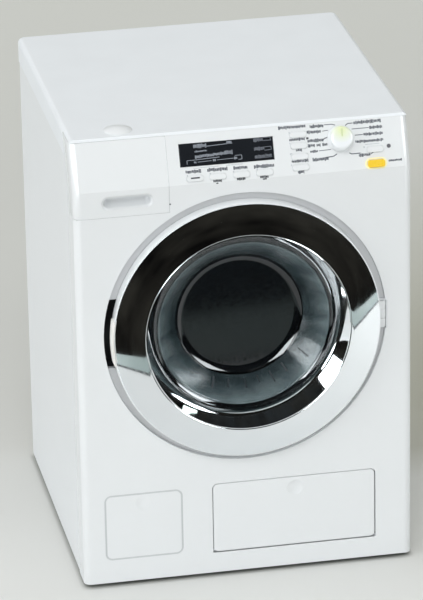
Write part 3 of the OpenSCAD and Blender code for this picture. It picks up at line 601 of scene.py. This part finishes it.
M["knob_white"] = knob_material()
cap = fillet([(0, 6.55), (4.9, 6.75), (6.15, 6.2), (6.55, 2.2), (6.98, 1.4), (6.98, 0.32), (0, 0.32)], [0, 2.0, 1.3, 0.8, 0.4, 0.1, 0], 7)
knob = local_lathe("knob_cap", cap, M["knob_white"], lean_matrix(KNOB[0], KNOB[1], 0), 128, 40)
stem = local_lathe("knob_stem", [(0, 0.4), (2.98, 0.4), (2.98, -9.3), (2.7, -9.4), (0, -9.4)], M["inner_plastic"], lean_matrix(KNOB[0], KNOB[1], 0), 48)
pointer = new_object("knob_pointer", [lean_matrix(KNOB[0], KNOB[1], 0) @ (Vector((x, y, z)) * MM)
                                      for z in (6.3, 6.85) for x, y in ((-0.35, 0.8), (0.35, 0.8), (0.55, 5.0), (-0.55, 5.0))],
                     [(0, 1, 2, 3), (4, 5, 6, 7), (0, 1, 5, 4), (1, 2, 6, 5), (2, 3, 7, 6), (3, 0, 4, 7)], None)
M["pointer_lens"] = moulded("pointer_lens", rgb(216, 226, 178), 0.3, vary=0.04)
pointer.data.materials.append(M["pointer_lens"])
for o in (knob, stem, pointer):
    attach(o, "knob")
    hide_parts("program_knob")

# ---------------------------------------------------------------- printing on the leaning zone
def plate(x0, v0, x1, v1, h, out=0.004, thick=0.014, slant=0.0):
    """Thin plate along a line on the leaning zone."""
    a, b = Vector((x0, v0)), Vector((x1, v1))
    u = (b - a).normalized()
    n = Vector((-u.y, u.x)) * h / 2
    c = [a - n, b - n, b + n + Vector((slant, 0)), a + n + Vector((slant, 0))]
    return [on_lean(q.x, q.y, out) for q in c] + [on_lean(q.x, q.y, out + thick) for q in c]


def dashes(x0, v0, x1, v1, h, out=0.004):
    """Uneven row of short blocks, read from afar as a printed line."""
    quads, x = [], x0
    while x < x1 - 0.15:
        w = min(random.uniform(0.35, 0.95), x1 - x)
        f0, f1 = (x - x0) / (x1 - x0), (x + w - x0) / (x1 - x0)
        hh = h * random.choice((1.15, 1.25, 1.7, 1.2))
        off = random.choice((-0.1, 0, 0, 0.12)) * h
        quads.append(plate(x, v0 + (v1 - v0) * f0 + off, x + w, v0 + (v1 - v0) * f1 + off, hh, out))
        x += w + random.uniform(0.06, 0.16)
    return quads


def line(points, h=0.28, out=0.004):
    return [plate(*a, *b, h * 1.3, out) for a, b in zip(points, points[1:])]


def cal(*v):
    """Positions measured on the photo, x and height up the lean, brought to the model's scale."""
    return [c * (0.9904 if i % 2 == 0 else 0.99) for i, c in enumerate(v)]


def dash(x0, v0, x1, v1, h, out=0.004):
    return dashes(*cal(x0, v0, x1, v1), h, out)


def thin(*pts, h=0.28, out=0.004):
    return line([tuple(cal(*q)) for q in pts], h, out)


dark = (dash(-31.3, 6.8, -22.8, 6.8, 1.15) + dash(-19.4, 6.9, -8.1, 6.9, 1.2) + dash(-5, 6.7, 2.7, 6.7, 1.15) + dash(6.3, 6.5, 17.6, 6.5, 1.15)
        # the four dashes between x 27 and 36.6 sit just below the four column keys
        + dash(21.5, 26.2, 36.6, 26.2, 1.1) + dash(27, 19.3, 35.6, 19.3, 0.95) + dash(30.2, 13.4, 33.7, 13.4, 0.9)
        + dash(27.3, 7.5, 36.6, 7.5, 0.95) + dash(30.2, 1.5, 33.7, 1.5, 1.0)
        + dash(38.9, 25.5, 46.5, 25.5, 1.15) + thin((46.8, 25.9), (51.2, 25.9), (53.0, 25.3), h=0.32)
        + dash(37, 22.6, 44.8, 22.6, 1.15) + thin((45.6, 22.6), (48.8, 22.8))
        + dash(37, 17.9, 45.9, 17.9, 1.15) + thin((45.6, 17.9), (46.6, 18.6), (48.4, 19.1), h=0.4)
        + dash(37, 15.3, 41.0, 15.3, 1.0) + dash(41.8, 15.3, 44.0, 15.3, 1.0) + dash(45, 15.3, 47.8, 15.4, 1.0)
        + dash(38, 12.0, 42.4, 12.0, 0.85) + thin((42.8, 12.1), (49.5, 12.3))
        + dash(38.9, 7.5, 47.8, 7.5, 1.15) + thin((46.2, 8.2), (50.6, 8.5), (52.6, 9.6), h=0.4)
        + thin((58.6, 24.6), (60.0, 25.6), (62.8, 25.6), h=0.36) + dash(63.2, 25.7, 78.5, 25.8, 1.15)
        + thin((62, 22.4), (71.5, 22.4), h=0.3) + dash(71.8, 22.4, 78.9, 22.4, 1.0)
        + thin((63.4, 18.9), (67.8, 18.9), h=0.34) + dash(68.2, 18.9, 78.9, 18.9, 1.05)
        + dash(63.4, 15.3, 78.9, 15.3, 1.0)
        + thin((59.5, 9.6), (60.8, 8.9), (65.6, 9.0), h=0.4) + dash(64.6, 7.7, 71.0, 7.9, 1.05) + thin((71.2, 8.0), (73.0, 9.0), h=0.34)
        + dash(80.8, 3.6, 88.2, 3.6, 0.8))
# the first three black dashes sit just below the bottom edge of row keys 2 to 4
black = (dash(-16.6, 0.72, -11.9, 0.72, 0.95) + dash(-3.6, 0.72, 1.3, 0.72, 0.95) + dash(9.2, 0.72, 14.0, 0.72, 0.95)
         + [plate(*cal(-28.8, 3.25), *cal(-23.9, 3.25), 0.8, 0.804)]
         + [plate(*cal(36.4, 19.4), *cal(37.7, 19.4), 1.1)])
for x, w, z in ((-14.3, 1.1, 232.9), (11.6, 2.2, 233.0)):
    black.append([Vector((x + a, YF - d, z + c)) * MM for d in (0.004, 0.018) for a, c in ((-w / 2, -0.35), (w / 2, -0.35), (w / 2, 0.35), (-w / 2, 0.35))])
grey = (thin((-27, 8.3), (-22, 8.6), (-13, 8.6), h=0.22) + thin((-9, 8.6), (0.5, 8.7), h=0.22)
        + thin((76.5, 13.4), (68.6, 13.4), h=0.22) + thin((28, 22.9), (35.5, 22.9), h=0.2) + thin((26.6, 11.8), (28, 11.9), h=0.3)
        # light-grey ticks at the upper-left corner of each key
        + thin((-30.8, 4.9), (-30.2, 4.9), h=0.5) + thin((-18.3, 4.9), (-17.6, 4.9), h=0.5) + thin((-5.4, 4.9), (-4.7, 4.9), h=0.5)
        + thin((7.6, 4.9), (8.3, 4.9), h=0.5) + thin((27.0, 23.3), (27.6, 23.3), h=0.5) + thin((26.9, 17.4), (27.5, 17.4), h=0.5)
        + thin((26.8, 11.5), (27.4, 11.5), h=0.5) + thin((26.7, 5.6), (27.3, 5.6), h=0.5) + thin((67.6, 12.0), (68.2, 12.0), h=0.6))
LENS = -0.046
screen = (dash(-25.9, 20.4, -18.5, 20.4, 1.3, LENS) + thin((-25.9, 19.6), (-4.4, 20.4), h=0.3, out=LENS) + dash(-7.5, 20.9, -4.6, 20.9, 1.2, LENS)
          + dash(-25.4, 17.4, -18.6, 17.6, 0.6, LENS)
          + dash(-25.4, 14.5, -4.6, 15.6, 1.1, LENS) + dash(-8.5, 15.6, -4.6, 15.6, 1.4, LENS) + thin((-25.2, 13.0), (-12, 13.5), h=0.3, out=LENS)
          + thin((-30.0, 10.9), (-30.0, 12.9), (-24.5, 13.0), h=0.25, out=LENS) + dash(-26.2, 11.6, -24.9, 11.6, 0.7, LENS)
          + thin((-24.2, 11.7), (-16.5, 11.9), h=0.25, out=LENS) + dash(-15.8, 12.0, -14.2, 12.0, 1.0, LENS)
          + thin((-13.6, 12.0), (-4.2, 12.2), h=0.25, out=LENS) + dash(-4.0, 12.2, -2.4, 12.2, 0.9, LENS)
          + thin((-3.6, 13.6), (0.2, 13.6), (0.2, 11.4), (-1.8, 11.3), h=0.25, out=LENS))
dim = (dash(7.3, 20.9, 12.5, 21.0, 1.2, LENS) + thin((12.6, 20.3), (16.9, 20.3), h=0.3, out=LENS) + thin((13, 21.9), (16.6, 21.9), (16.9, 20.3), h=0.25, out=LENS)
       + dash(7.3, 16.1, 13.0, 16.1, 1.3, LENS) + thin((13, 16.8), (16.6, 16.9), (16.8, 15.2), (13, 15.0), h=0.28, out=LENS)
       + dash(7.3, 11.9, 12.9, 11.9, 1.1, LENS) + dash(13.2, 12.1, 16.9, 12.1, 1.0, LENS) + thin((7.3, 11.1), (16.9, 11.2), h=0.25, out=LENS))
for name, quads, mat in (("print_dark", dark, "ink_dark"), ("print_black", black, "ink_black"), ("print_grey", grey, "ink_grey"),
                         ("screen_print", screen, "screen_mark"), ("screen_print_dim", dim, "screen_mark_dim")):
    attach(slab_mesh(name, quads, M[mat]), "cabinet")

# painted glow: a pale yellow ring round the start key stands in for the soft light round it
def pill_ring(name, x, s, w0, h0, w1, h1, out, thick, material):
    inner = rounded_outline(w0, h0, h0 / 2 - 0.01, 10)
    outer = rounded_outline(w1, h1, h1 / 2 - 0.01, 10)
    n = len(inner)
    verts = [on_lean(x + p[0], s + p[1], d) for d in (out, out + thick) for ring in (inner, outer) for p in ring]
    faces = []
    for i in range(n):
        j = (i + 1) % n
        faces += [(i, j, n + j, n + i), (2 * n + i, 2 * n + j, 3 * n + j, 3 * n + i), (i, j, 2 * n + j, 2 * n + i), (n + i, n + j, 3 * n + j, 3 * n + i)]
    return new_object(name, verts, faces, material)


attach(pill_ring("start_halo", 73.1, 2.75, 9.95, 4.7, 12.2, 6.2, 0.003, 0.012, M["ink_glow"]), "cabinet")

for i, (x, v, w, h) in enumerate([(x, 2.95, 9, 3.1) for x in (-26.2, -13.8, -0.9, 11.8)] + [(31.7, v, 9, 3.1) for v in (21.6, 15.7, 9.8, 3.9)]
                              + [(73.2, 10.3, 9, 3.1), (73.1, 2.6, 9.4, 4.1)]):
    o = pill_ring("key_guide_%d" % (i + 1), x, v, w + 0.06, h + 0.06, w + 0.48, h + 0.48, -0.7, 0.55, M["panel_white"])
    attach(o, "cabinet")

# ---------------------------------------------------------------- seams that read as fine lines: grey strips sunk into the seams are painted shade, standing in for the shade in the gaps
def front_profile(off, z_lo, z_hi):
    zc = CREASE - off * math.tan(LEAN / 2)
    if z_hi <= zc:
        return [(YF + off, z_lo), (YF + off, z_hi)]
    if z_lo >= zc:
        return [(YF + off + (z - zc) * math.tan(LEAN), z) for z in (z_lo, z_hi)]
    return [(YF + off, z_lo), (YF + off, zc), (YF + off + (z_hi - zc) * math.tan(LEAN), z_hi)]


def seam_shade_strip(name, x0, x1, z0, z1, depth=0.3, thick=0.7, material="seam_painted_shade"):
    a, b = front_profile(depth, z0, z1), front_profile(depth + thick, z0, z1)
    o = prism(name, a + b[::-1], x0, x1, M[material])
    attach(o, "cabinet")
    return o


M["seam_painted_shade"] = moulded("seam_painted_shade", rgb(205, 208, 210), 0.5, vary=0.03)
# painted shade: the scoop's white is a little darker than the panel's, standing in for the shade in the recess
M["scoop_painted_shade"] = moulded("scoop_painted_shade", rgb(226, 228, 230), 0.34)
M["pad_white"] = moulded("pad_white", rgb(240, 238, 234), 0.4, vary=0.03)
M["groove_painted_shade"] = moulded("groove_painted_shade", rgb(203, 206, 208), 0.5, vary=0.03)
seam_shade_strip("seam_drawer_side", -40.59, -40.41, 218.6, 258.3, 0.25)
seam_shade_strip("seam_drawer_low", -91.2, -40.41, 218.42, 218.59, 0.25)
M["top_seam_painted_shade"] = moulded("top_seam_painted_shade", rgb(226, 229, 231), 0.5, vary=0.03)
seam_shade_strip("seam_top", -91.6, 91.6, 258.41, 258.54, 0.12, material="top_seam_painted_shade")

def ring_prism(name, x0, z0, x1, z1, r, width, depth, thick, material):
    """Rounded rectangular band of the given width on the flat front, sunk by depth."""
    w, h, cx, cz = x1 - x0, z1 - z0, (x0 + x1) / 2, (z0 + z1) / 2
    loops = []
    for d, inset in ((depth, 0.02), (depth + thick, 0.02), (depth + thick, width - 0.02), (depth, width - 0.02)):
        loops.append([Vector((cx + a, YF + d, cz + b)) * MM for a, b in rounded_outline(w - 2 * inset, h - 2 * inset, r - inset, 8)])
    loops.append(loops[0])
    return loft(name, loops, material, 40, cap=False)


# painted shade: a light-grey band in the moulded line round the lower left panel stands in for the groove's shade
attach(ring_prism("panel_line_shade", -80.5, 16.1, -36.8, 55.3, 4, 1.0, 0.22, 0.2, M["groove_painted_shade"]), "cabinet")

o = new_object("hinge_side_fill", [Vector((x, YF + y, z)) * MM for z in (139.85, 156.75) for x, y in ((78.26, 0.3), (78.78, 0.3), (78.78, 5.3), (78.26, 5.3))],
               [(0, 1, 2, 3), (4, 5, 6, 7), (0, 1, 5, 4), (1, 2, 6, 5), (2, 3, 7, 6), (3, 0, 4, 7)], M["panel_white"])
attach(o, "cabinet")
o = new_object("hinge_top_fill", [Vector((x, YF + y, z)) * MM for z in (156.52, 156.78) for x, y in ((74.1, -0.4), (78.75, -0.4), (78.75, 5.0), (74.1, 5.0))],
               [(0, 1, 2, 3), (4, 5, 6, 7), (0, 1, 5, 4), (1, 2, 6, 5), (2, 3, 7, 6), (3, 0, 4, 7)], M["panel_white"])
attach(o, "cabinet")

# white finger pad on the rim of the door, facing the slot
pad = []
for k in range(13):
    a = math.radians(180 + 9.6 * (k / 6 - 1))
    pad.append([Vector((r * math.cos(a), y, DOOR_Z + r * math.sin(a))) * MM for r, y in ((73.9, -96.2), (74.6, -96.5), (75.0, -96.0), (75.0, -88.6), (73.9, -88.4))])
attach(loft("door_finger_pad", pad, M["pad_white"], 50), "door")

# lower flap with a rounded outline and its grip dimple
DIMPLE = Vector((26.4, 49.5))


def flap_ring(inset, depth, r=2.7):
    x0, z0, x1, z1 = -19.7 + inset, 14.95 + inset, 71.4 - inset, 55.8 - inset
    corners = rounded_outline(x1 - x0, z1 - z0, r - inset, 8)
    pts = []
    for p, q in zip(corners, corners[1:] + corners[:1]):
        parts = 20 if math.dist(p, q) > 5 else 1
        pts += [(p[0] + (q[0] - p[0]) * k / parts, p[1] + (q[1] - p[1]) * k / parts) for k in range(parts)]
    return [Vector(((x0 + x1) / 2 + a, YF + depth, (z0 + z1) / 2 + b)) * MM for a, b in pts]


rings = [flap_ring(0.3, 2.2), flap_ring(0, 1.9), flap_ring(0, 0.55), flap_ring(0.07, 0.28), flap_ring(0.24, 0.09), flap_ring(0.5, 0.005), flap_ring(0.9, 0), flap_ring(1.1, 0), flap_ring(1.3, 0)]
for r in (4.9, 4.7, 4.5, 4.2, 3.5, 2.6, 1.7, 0.8, 0.05):
    depth = math.sqrt(11.0 ** 2 - r * r) - 10.037 if r < 4.5 else 0
    ring = []
    for q in rings[0]:
        d = (Vector((q.x, q.z)) / MM - DIMPLE).normalized()
        ring.append(Vector((DIMPLE.x + d.x * r, YF + depth, DIMPLE.y + d.y * r)) * MM)
    rings.append(ring)
o = loft("flap_plate", rings, M["panel_white"], 45)
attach(o, "flap")
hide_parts("service_flap")
AXIS = (YF + 1.5, 16.2)
o = prism("flap_barrel", arc(AXIS[0], AXIS[1], 1.1, 0, 345, 23), -19.6, 71.3, M["panel_white"])
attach(o, "flap")

# small dark dot near the foot of the drawer seam
dot = lathe("drawer_dot", [(0, -0.02), (0.42, -0.02), (0.5, 0.1), (0.5, 0.9), (0, 0.9)], M["ink_dark"], 24, (-40.2, 223.2))
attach(dot, "cabinet")

# ---------------------------------------------------------------- drawer finger scoop
def scoop():
    rings = []
    w, h, r = 27.88, 7.38, 3.68
    for inset, depth in ((0, 0.03), (0.2, 0.06), (0.55, 0.22), (0.85, 0.55), (1.05, 1.1), (1.2, 2.2), (1.45, 3.4), (1.9, 4.4), (2.5, 5.0), (3.2, 5.25), (3.6, 5.3)):
        rings.append([Vector((-63.35 + a, YF + depth, 226.6 + b)) * MM for a, b in rounded_outline(w - 2 * inset, h - 2 * inset, max(r - inset, 0.05), 10)])
    o = loft("drawer_scoop", rings, M["scoop_painted_shade"], 60, cap=False)
    n = len(rings[0])
    return o


o = scoop()
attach(o, "drawer")

# ---------------------------------------------------------------- stage
def stage_plane(name, corners, material):
    o = new_object(name, [Vector(c) * MM for c in corners], [tuple(range(len(corners)))], material)
    return o


def floor_material():
    m, nt, b, co = base_material("floor_paper")
    sep = nt.nodes.new("ShaderNodeSeparateXYZ")
    nt.links.new(co, sep.inputs[0])
    # painted light: the paper's tone follows Y, lighter in front of the machine, darker just behind it and lighter
    # again far back, standing in for how the light falls across the paper
    ramp = nt.nodes.new("ShaderNodeValToRGB")
    stops = [(0.0, 230), (0.09, 224), (0.2, 212), (0.3, 208), (0.55, 207), (1.0, 218)]
    for k, (at, v) in enumerate(stops):
        e = ramp.color_ramp.elements[k] if k < 2 else ramp.color_ramp.elements.new(at)
        e.position = at
        e.color = rgb(v, v, v - 2 - 3 * at)
    nt.links.new(remap(nt, sep.outputs["Y"], 0, 1, -0.25, 1.2), ramp.inputs["Fac"])
    # painted shadow: the paper is painted darker behind and to the right of the machine, where the machine keeps the
    # light off it
    painted_shadow_fac = nt.nodes.new("ShaderNodeMath")
    painted_shadow_fac.operation = "MULTIPLY"
    nt.links.new(remap(nt, sep.outputs["X"], 0, 1, 0.05, 0.17), painted_shadow_fac.inputs[0])
    painted_shadow_band = nt.nodes.new("ShaderNodeMath")
    painted_shadow_band.operation = "MULTIPLY"
    nt.links.new(remap(nt, sep.outputs["Y"], 0, 1, 0.012, 0.055), painted_shadow_band.inputs[0])
    nt.links.new(remap(nt, sep.outputs["Y"], 1, 0, 0.12, 0.55), painted_shadow_band.inputs[1])
    nt.links.new(painted_shadow_band.outputs[0], painted_shadow_fac.inputs[1])
    shade = nt.nodes.new("ShaderNodeMix")
    shade.data_type = "RGBA"
    shade.blend_type = "MULTIPLY"
    shade.inputs["B"].default_value = (0.62, 0.61, 0.52, 1)
    nt.links.new(painted_shadow_fac.outputs[0], shade.inputs["Factor"])
    nt.links.new(ramp.outputs["Color"], shade.inputs["A"])
    # painted shadow: the paper under the machine's footprint is painted dark grey, where next to no light gets under
    # the machine
    painted_under_shadow_mask = None
    for axis, lo, hi in (("X", -0.0915, 0.0915), ("Y", -0.0868, 0.0955)):
        for edge, sign in ((lo, 1), (hi, -1)):
            step = remap(nt, sep.outputs[axis], 0, 1, edge - 0.003 * sign, edge + 0.003 * sign)
            if painted_under_shadow_mask is None:
                painted_under_shadow_mask = step
            else:
                mul = nt.nodes.new("ShaderNodeMath")
                mul.operation = "MULTIPLY"
                nt.links.new(painted_under_shadow_mask, mul.inputs[0])
                nt.links.new(step, mul.inputs[1])
                painted_under_shadow_mask = mul.outputs[0]
    painted_under_shadow = nt.nodes.new("ShaderNodeMix")
    painted_under_shadow.data_type = "RGBA"
    painted_under_shadow.inputs["B"].default_value = rgb(140, 142, 136)
    nt.links.new(painted_under_shadow_mask, painted_under_shadow.inputs["Factor"])
    nt.links.new(shade.outputs["Result"], painted_under_shadow.inputs["A"])
    nt.links.new(painted_under_shadow.outputs["Result"], b.inputs["Base Color"])
    b.inputs["Roughness"].default_value = 0.7
    b.inputs["Specular IOR Level"].default_value = 0.2
    bump(nt, b, noise(nt, co, 900, 3), 0.15, 0.00005)
    return m


floor_mat = floor_material()


def table_material(name, near, far):
    """Painted table as the chrome sees it, slightly cloudy."""
    m, nt, b, co = base_material(name)
    nt.links.new(mix_colour(nt, remap(nt, noise(nt, co, 4, 3), 0, 1, 0.35, 0.65), near, far), b.inputs["Base Color"])
    b.inputs["Roughness"].default_value = 0.7
    return m


table_mat = table_material("table_paint", rgb(221, 222, 223), rgb(214, 217, 218))
nt = table_mat.node_tree
b = nt.nodes["Principled BSDF"]
sep = nt.nodes.new("ShaderNodeSeparateXYZ")
nt.links.new(nt.nodes.new("ShaderNodeTexCoord").outputs["Object"], sep.inputs[0])
# painted light: the table top is painted paler towards +X, standing in for brighter light on that side
painted_light_to_right = nt.nodes.new("ShaderNodeMix")
painted_light_to_right.data_type = "RGBA"
nt.links.new(b.inputs["Base Color"].links[0].from_socket, painted_light_to_right.inputs["A"])
painted_light_to_right.inputs["B"].default_value = rgb(249, 251, 252)
nt.links.new(remap(nt, sep.outputs["X"], 0, 1, -0.12, 0.25), painted_light_to_right.inputs["Factor"])
nt.links.new(painted_light_to_right.outputs["Result"], b.inputs["Base Color"])
edge_mat = table_material("table_edge_paint", rgb(150, 166, 164), rgb(176, 190, 188))
floor = stage_plane("floor", [(-6000, -6000, 0), (6000, -6000, 0), (6000, 6000, 0), (-6000, 6000, 0)], floor_mat)
floor.visible_glossy = False

# table top and edge as the chrome sees them
def edge_y(x, near):
    return (-354.5 - 0.19 * x) if near else (-405 - 0.2 * x)


LEFT_END, RIGHT_END = -3200, 1500
table = stage_plane("table_top", [(LEFT_END, edge_y(LEFT_END, True), 0.1), (RIGHT_END, edge_y(RIGHT_END, True), 0.1),
                                  (RIGHT_END, 3000, 0.1), (LEFT_END, 3000, 0.1)], table_mat)
strip = stage_plane("table_edge", [(-400, edge_y(-400, False), 0.1), (RIGHT_END, edge_y(RIGHT_END, False), 0.1),
                                   (RIGHT_END, edge_y(RIGHT_END, True) - 1.5, 0.1), (-400, edge_y(-400, True) - 1.0, 0.1)], edge_mat)
# painted shadow: a dark strip along the near edge of the table stands in for the shade under that edge, seen only in
# reflections
table_edge_shadow = stage_plane("table_edge_shadow_strip", [(x, edge_y(x, True) + d, 0.7) for x, d in ((-900, -1), (RIGHT_END, -1), (RIGHT_END, 9.0), (-900, 7.0))],
                  table_material("table_edge_shadow_paint", rgb(40, 45, 47), rgb(62, 69, 70)))


def only_reflected(*objs):
    for o in objs:
        o.visible_camera = False
        o.visible_diffuse = False
        o.visible_shadow = False
        o.visible_transmission = False


def glow_material(name, low, high, scale, sky=None, strength=1.0):
    """Emitter with cloudy brightness between two colours."""
    m = bpy.data.materials.new(name)
    m.use_nodes = True
    nt = m.node_tree
    nt.nodes.remove(nt.nodes["Principled BSDF"])
    co = nt.nodes.new("ShaderNodeTexCoord").outputs["Object"]
    e = nt.nodes.new("ShaderNodeEmission")
    n = remap(nt, noise(nt, co, scale, 3, 0.6), 0, 1, 0.35, 0.68)
    colour = mix_colour(nt, n, low, high)
    if sky:
        sep = nt.nodes.new("ShaderNodeSeparateXYZ")
        nt.links.new(co, sep.inputs[0])
        m2 = nt.nodes.new("ShaderNodeMix")
        m2.data_type = "RGBA"
        broken = nt.nodes.new("ShaderNodeMath")
        broken.operation = "MULTIPLY"
        nt.links.new(remap(nt, sep.outputs["Z"], 0, 1, 2.2, 4.4), broken.inputs[0])
        nt.links.new(remap(nt, noise(nt, co, 0.5, 1, 0.5, (3, 0.6, 0.6)), 0.4, 1, 0.3, 0.7), broken.inputs[1])
        nt.links.new(broken.outputs[0], m2.inputs["Factor"])
        nt.links.new(colour, m2.inputs["A"])
        m2.inputs["B"].default_value = sky
        colour = m2.outputs["Result"]
    nt.links.new(colour, e.inputs["Color"])
    e.inputs["Strength"].default_value = strength
    nt.links.new(e.outputs[0], nt.nodes["Material Output"].inputs["Surface"])
    return m


# dark studio as the chrome sees it
bm = bmesh.new()
bmesh.ops.create_uvsphere(bm, u_segments=48, v_segments=24, radius=5.0)
me = bpy.data.meshes.new("dark_room")
bm.to_mesh(me)
bm.free()
me.materials.append(glow_material("dark_room", rgb(9, 9, 9), rgb(44, 43, 39), 0.6, rgb(42, 46, 48)))
room = bpy.data.objects.new("dark_room", me)
bpy.context.scene.collection.objects.link(room)


def card(name, azimuth, elevation, distance, width, height, level, power):
    """Bright panel that only reflections see, facing the machine. Azimuth is from the front towards +X."""
    a, e = math.radians(azimuth), math.radians(elevation)
    c = Vector((math.sin(a) * math.cos(e), -math.cos(a) * math.cos(e), math.sin(e))) * distance + Vector((0, 0, 0.148))
    side = Vector((math.cos(a), math.sin(a), 0))
    upv = Vector((-math.sin(a) * math.sin(e), math.cos(a) * math.sin(e), math.cos(e)))
    o = new_object(name, [c + side * x * width / 2 + upv * y * height / 2 for x, y in ((-1, -1), (1, -1), (1, 1), (-1, 1))],
                   [(0, 1, 2, 3)], glow_material(name, tuple(v * 0.9 for v in level) + (1,), tuple(level) + (1,), 3, None, power))
    return o


cards = [card("card_left", -76, 17, 1.5, 0.8, 0.62, (0.9, 0.97, 1.0), 9),
         card("card_right", 86, 29, 1.5, 0.3, 0.3, (0.8, 0.95, 0.9), 3),
         card("card_front_left", -38, 19, 1.6, 0.9, 0.8, (0.92, 0.97, 1.0), 13),
         card("card_front_right", 44, 21, 1.6, 0.8, 0.75, (0.92, 0.97, 1.0), 13)]
only_reflected(table, strip, table_edge_shadow, room, *cards)

world = bpy.data.worlds.new("world")
bpy.context.scene.world = world
world.use_nodes = True
wn = world.node_tree
bg = wn.nodes["Background"]
tc = wn.nodes.new("ShaderNodeTexCoord")
sep = wn.nodes.new("ShaderNodeSeparateXYZ")
wn.links.new(tc.outputs["Generated"], sep.inputs[0])
dot_product = wn.nodes.new("ShaderNodeVectorMath")
dot_product.operation = "DOT_PRODUCT"
dot_product.inputs[1].default_value = (-0.62, -0.62, 0.3)
wn.links.new(tc.outputs["Generated"], dot_product.inputs[0])
strength = wn.nodes.new("ShaderNodeMapRange")
strength.inputs["From Min"].default_value = -1
strength.inputs["From Max"].default_value = 1
strength.inputs["To Min"].default_value = 0.20
strength.inputs["To Max"].default_value = 1.07
wn.links.new(dot_product.outputs["Value"], strength.inputs["Value"])
wn.links.new(strength.outputs["Result"], bg.inputs["Strength"])
tint = wn.nodes.new("ShaderNodeMix")
tint.data_type = "RGBA"
tint.inputs["A"].default_value = (1.0, 0.99, 0.86, 1)
tint.inputs["B"].default_value = (0.97, 1.0, 1.0, 1)
warm = wn.nodes.new("ShaderNodeMapRange")
warm.inputs["From Min"].default_value = -0.7
warm.inputs["From Max"].default_value = 0.3
wn.links.new(dot_product.outputs["Value"], warm.inputs["Value"])
wn.links.new(warm.outputs["Result"], tint.inputs["Factor"])
wn.links.new(tint.outputs["Result"], bg.inputs["Color"])
world.cycles_visibility.glossy = False


def area(name, at, target, size, power, colour=(1, 1, 1), glossy=False):
    l = bpy.data.lights.new(name, "AREA")
    l.shape = "RECTANGLE"
    l.size, l.size_y = size
    l.energy = power
    l.color = colour
    o = bpy.data.objects.new(name, l)
    bpy.context.scene.collection.objects.link(o)
    o.location = Vector(at)
    o.rotation_euler = (Vector(target) - Vector(at)).to_track_quat("-Z", "Y").to_euler()
    o.visible_camera = False
    o.visible_glossy = glossy
    return o


def soft(name, azimuth, elevation, distance, size, power, colour=(1, 1, 1)):
    a, e = math.radians(azimuth), math.radians(elevation)
    at = Vector((math.sin(a) * math.cos(e), -math.cos(a) * math.cos(e), math.sin(e))) * distance
    return area(name, at, (0, 0, 0.1), size, power, colour)


soft("key", -12, 50, 2.6, (0.6, 0.6), 8.5)
soft("left", -70, 32, 2.2, (1.2, 1.2), 6.0)
soft("top", 10, 100, 2.4, (1.2, 1.2), 6.0)

# light that has found its way into the drum
lamp = area("inside", Vector((36, -46, 186)) * MM, Vector((-40, -30, 104)) * MM, (0.03, 0.03), 0.055)
lamp.visible_transmission = False

# ---------------------------------------------------------------- camera
cam = bpy.data.cameras.new("camera")
cam.lens = 266.5
cam.sensor_width = 36
cam.sensor_fit = "AUTO"
cam.clip_end = 50
camera = bpy.data.objects.new("camera", cam)
bpy.context.scene.collection.objects.link(camera)
right = Vector((0.98039, -0.19634, -0.01676))
up = Vector((0.09054, 0.37324, 0.92331))
back = Vector((-0.17502, -0.90672, 0.3837))
rot = Matrix((right, up, back)).transposed()
camera.matrix_world = Matrix.Translation(Vector((-438.5, -2262.9, 1086.1)) * MM) @ rot.to_4x4()
bpy.context.scene.camera = camera
bpy.context.scene.view_settings.view_transform = "Standard"
bpy.context.scene.view_settings.look = "None"
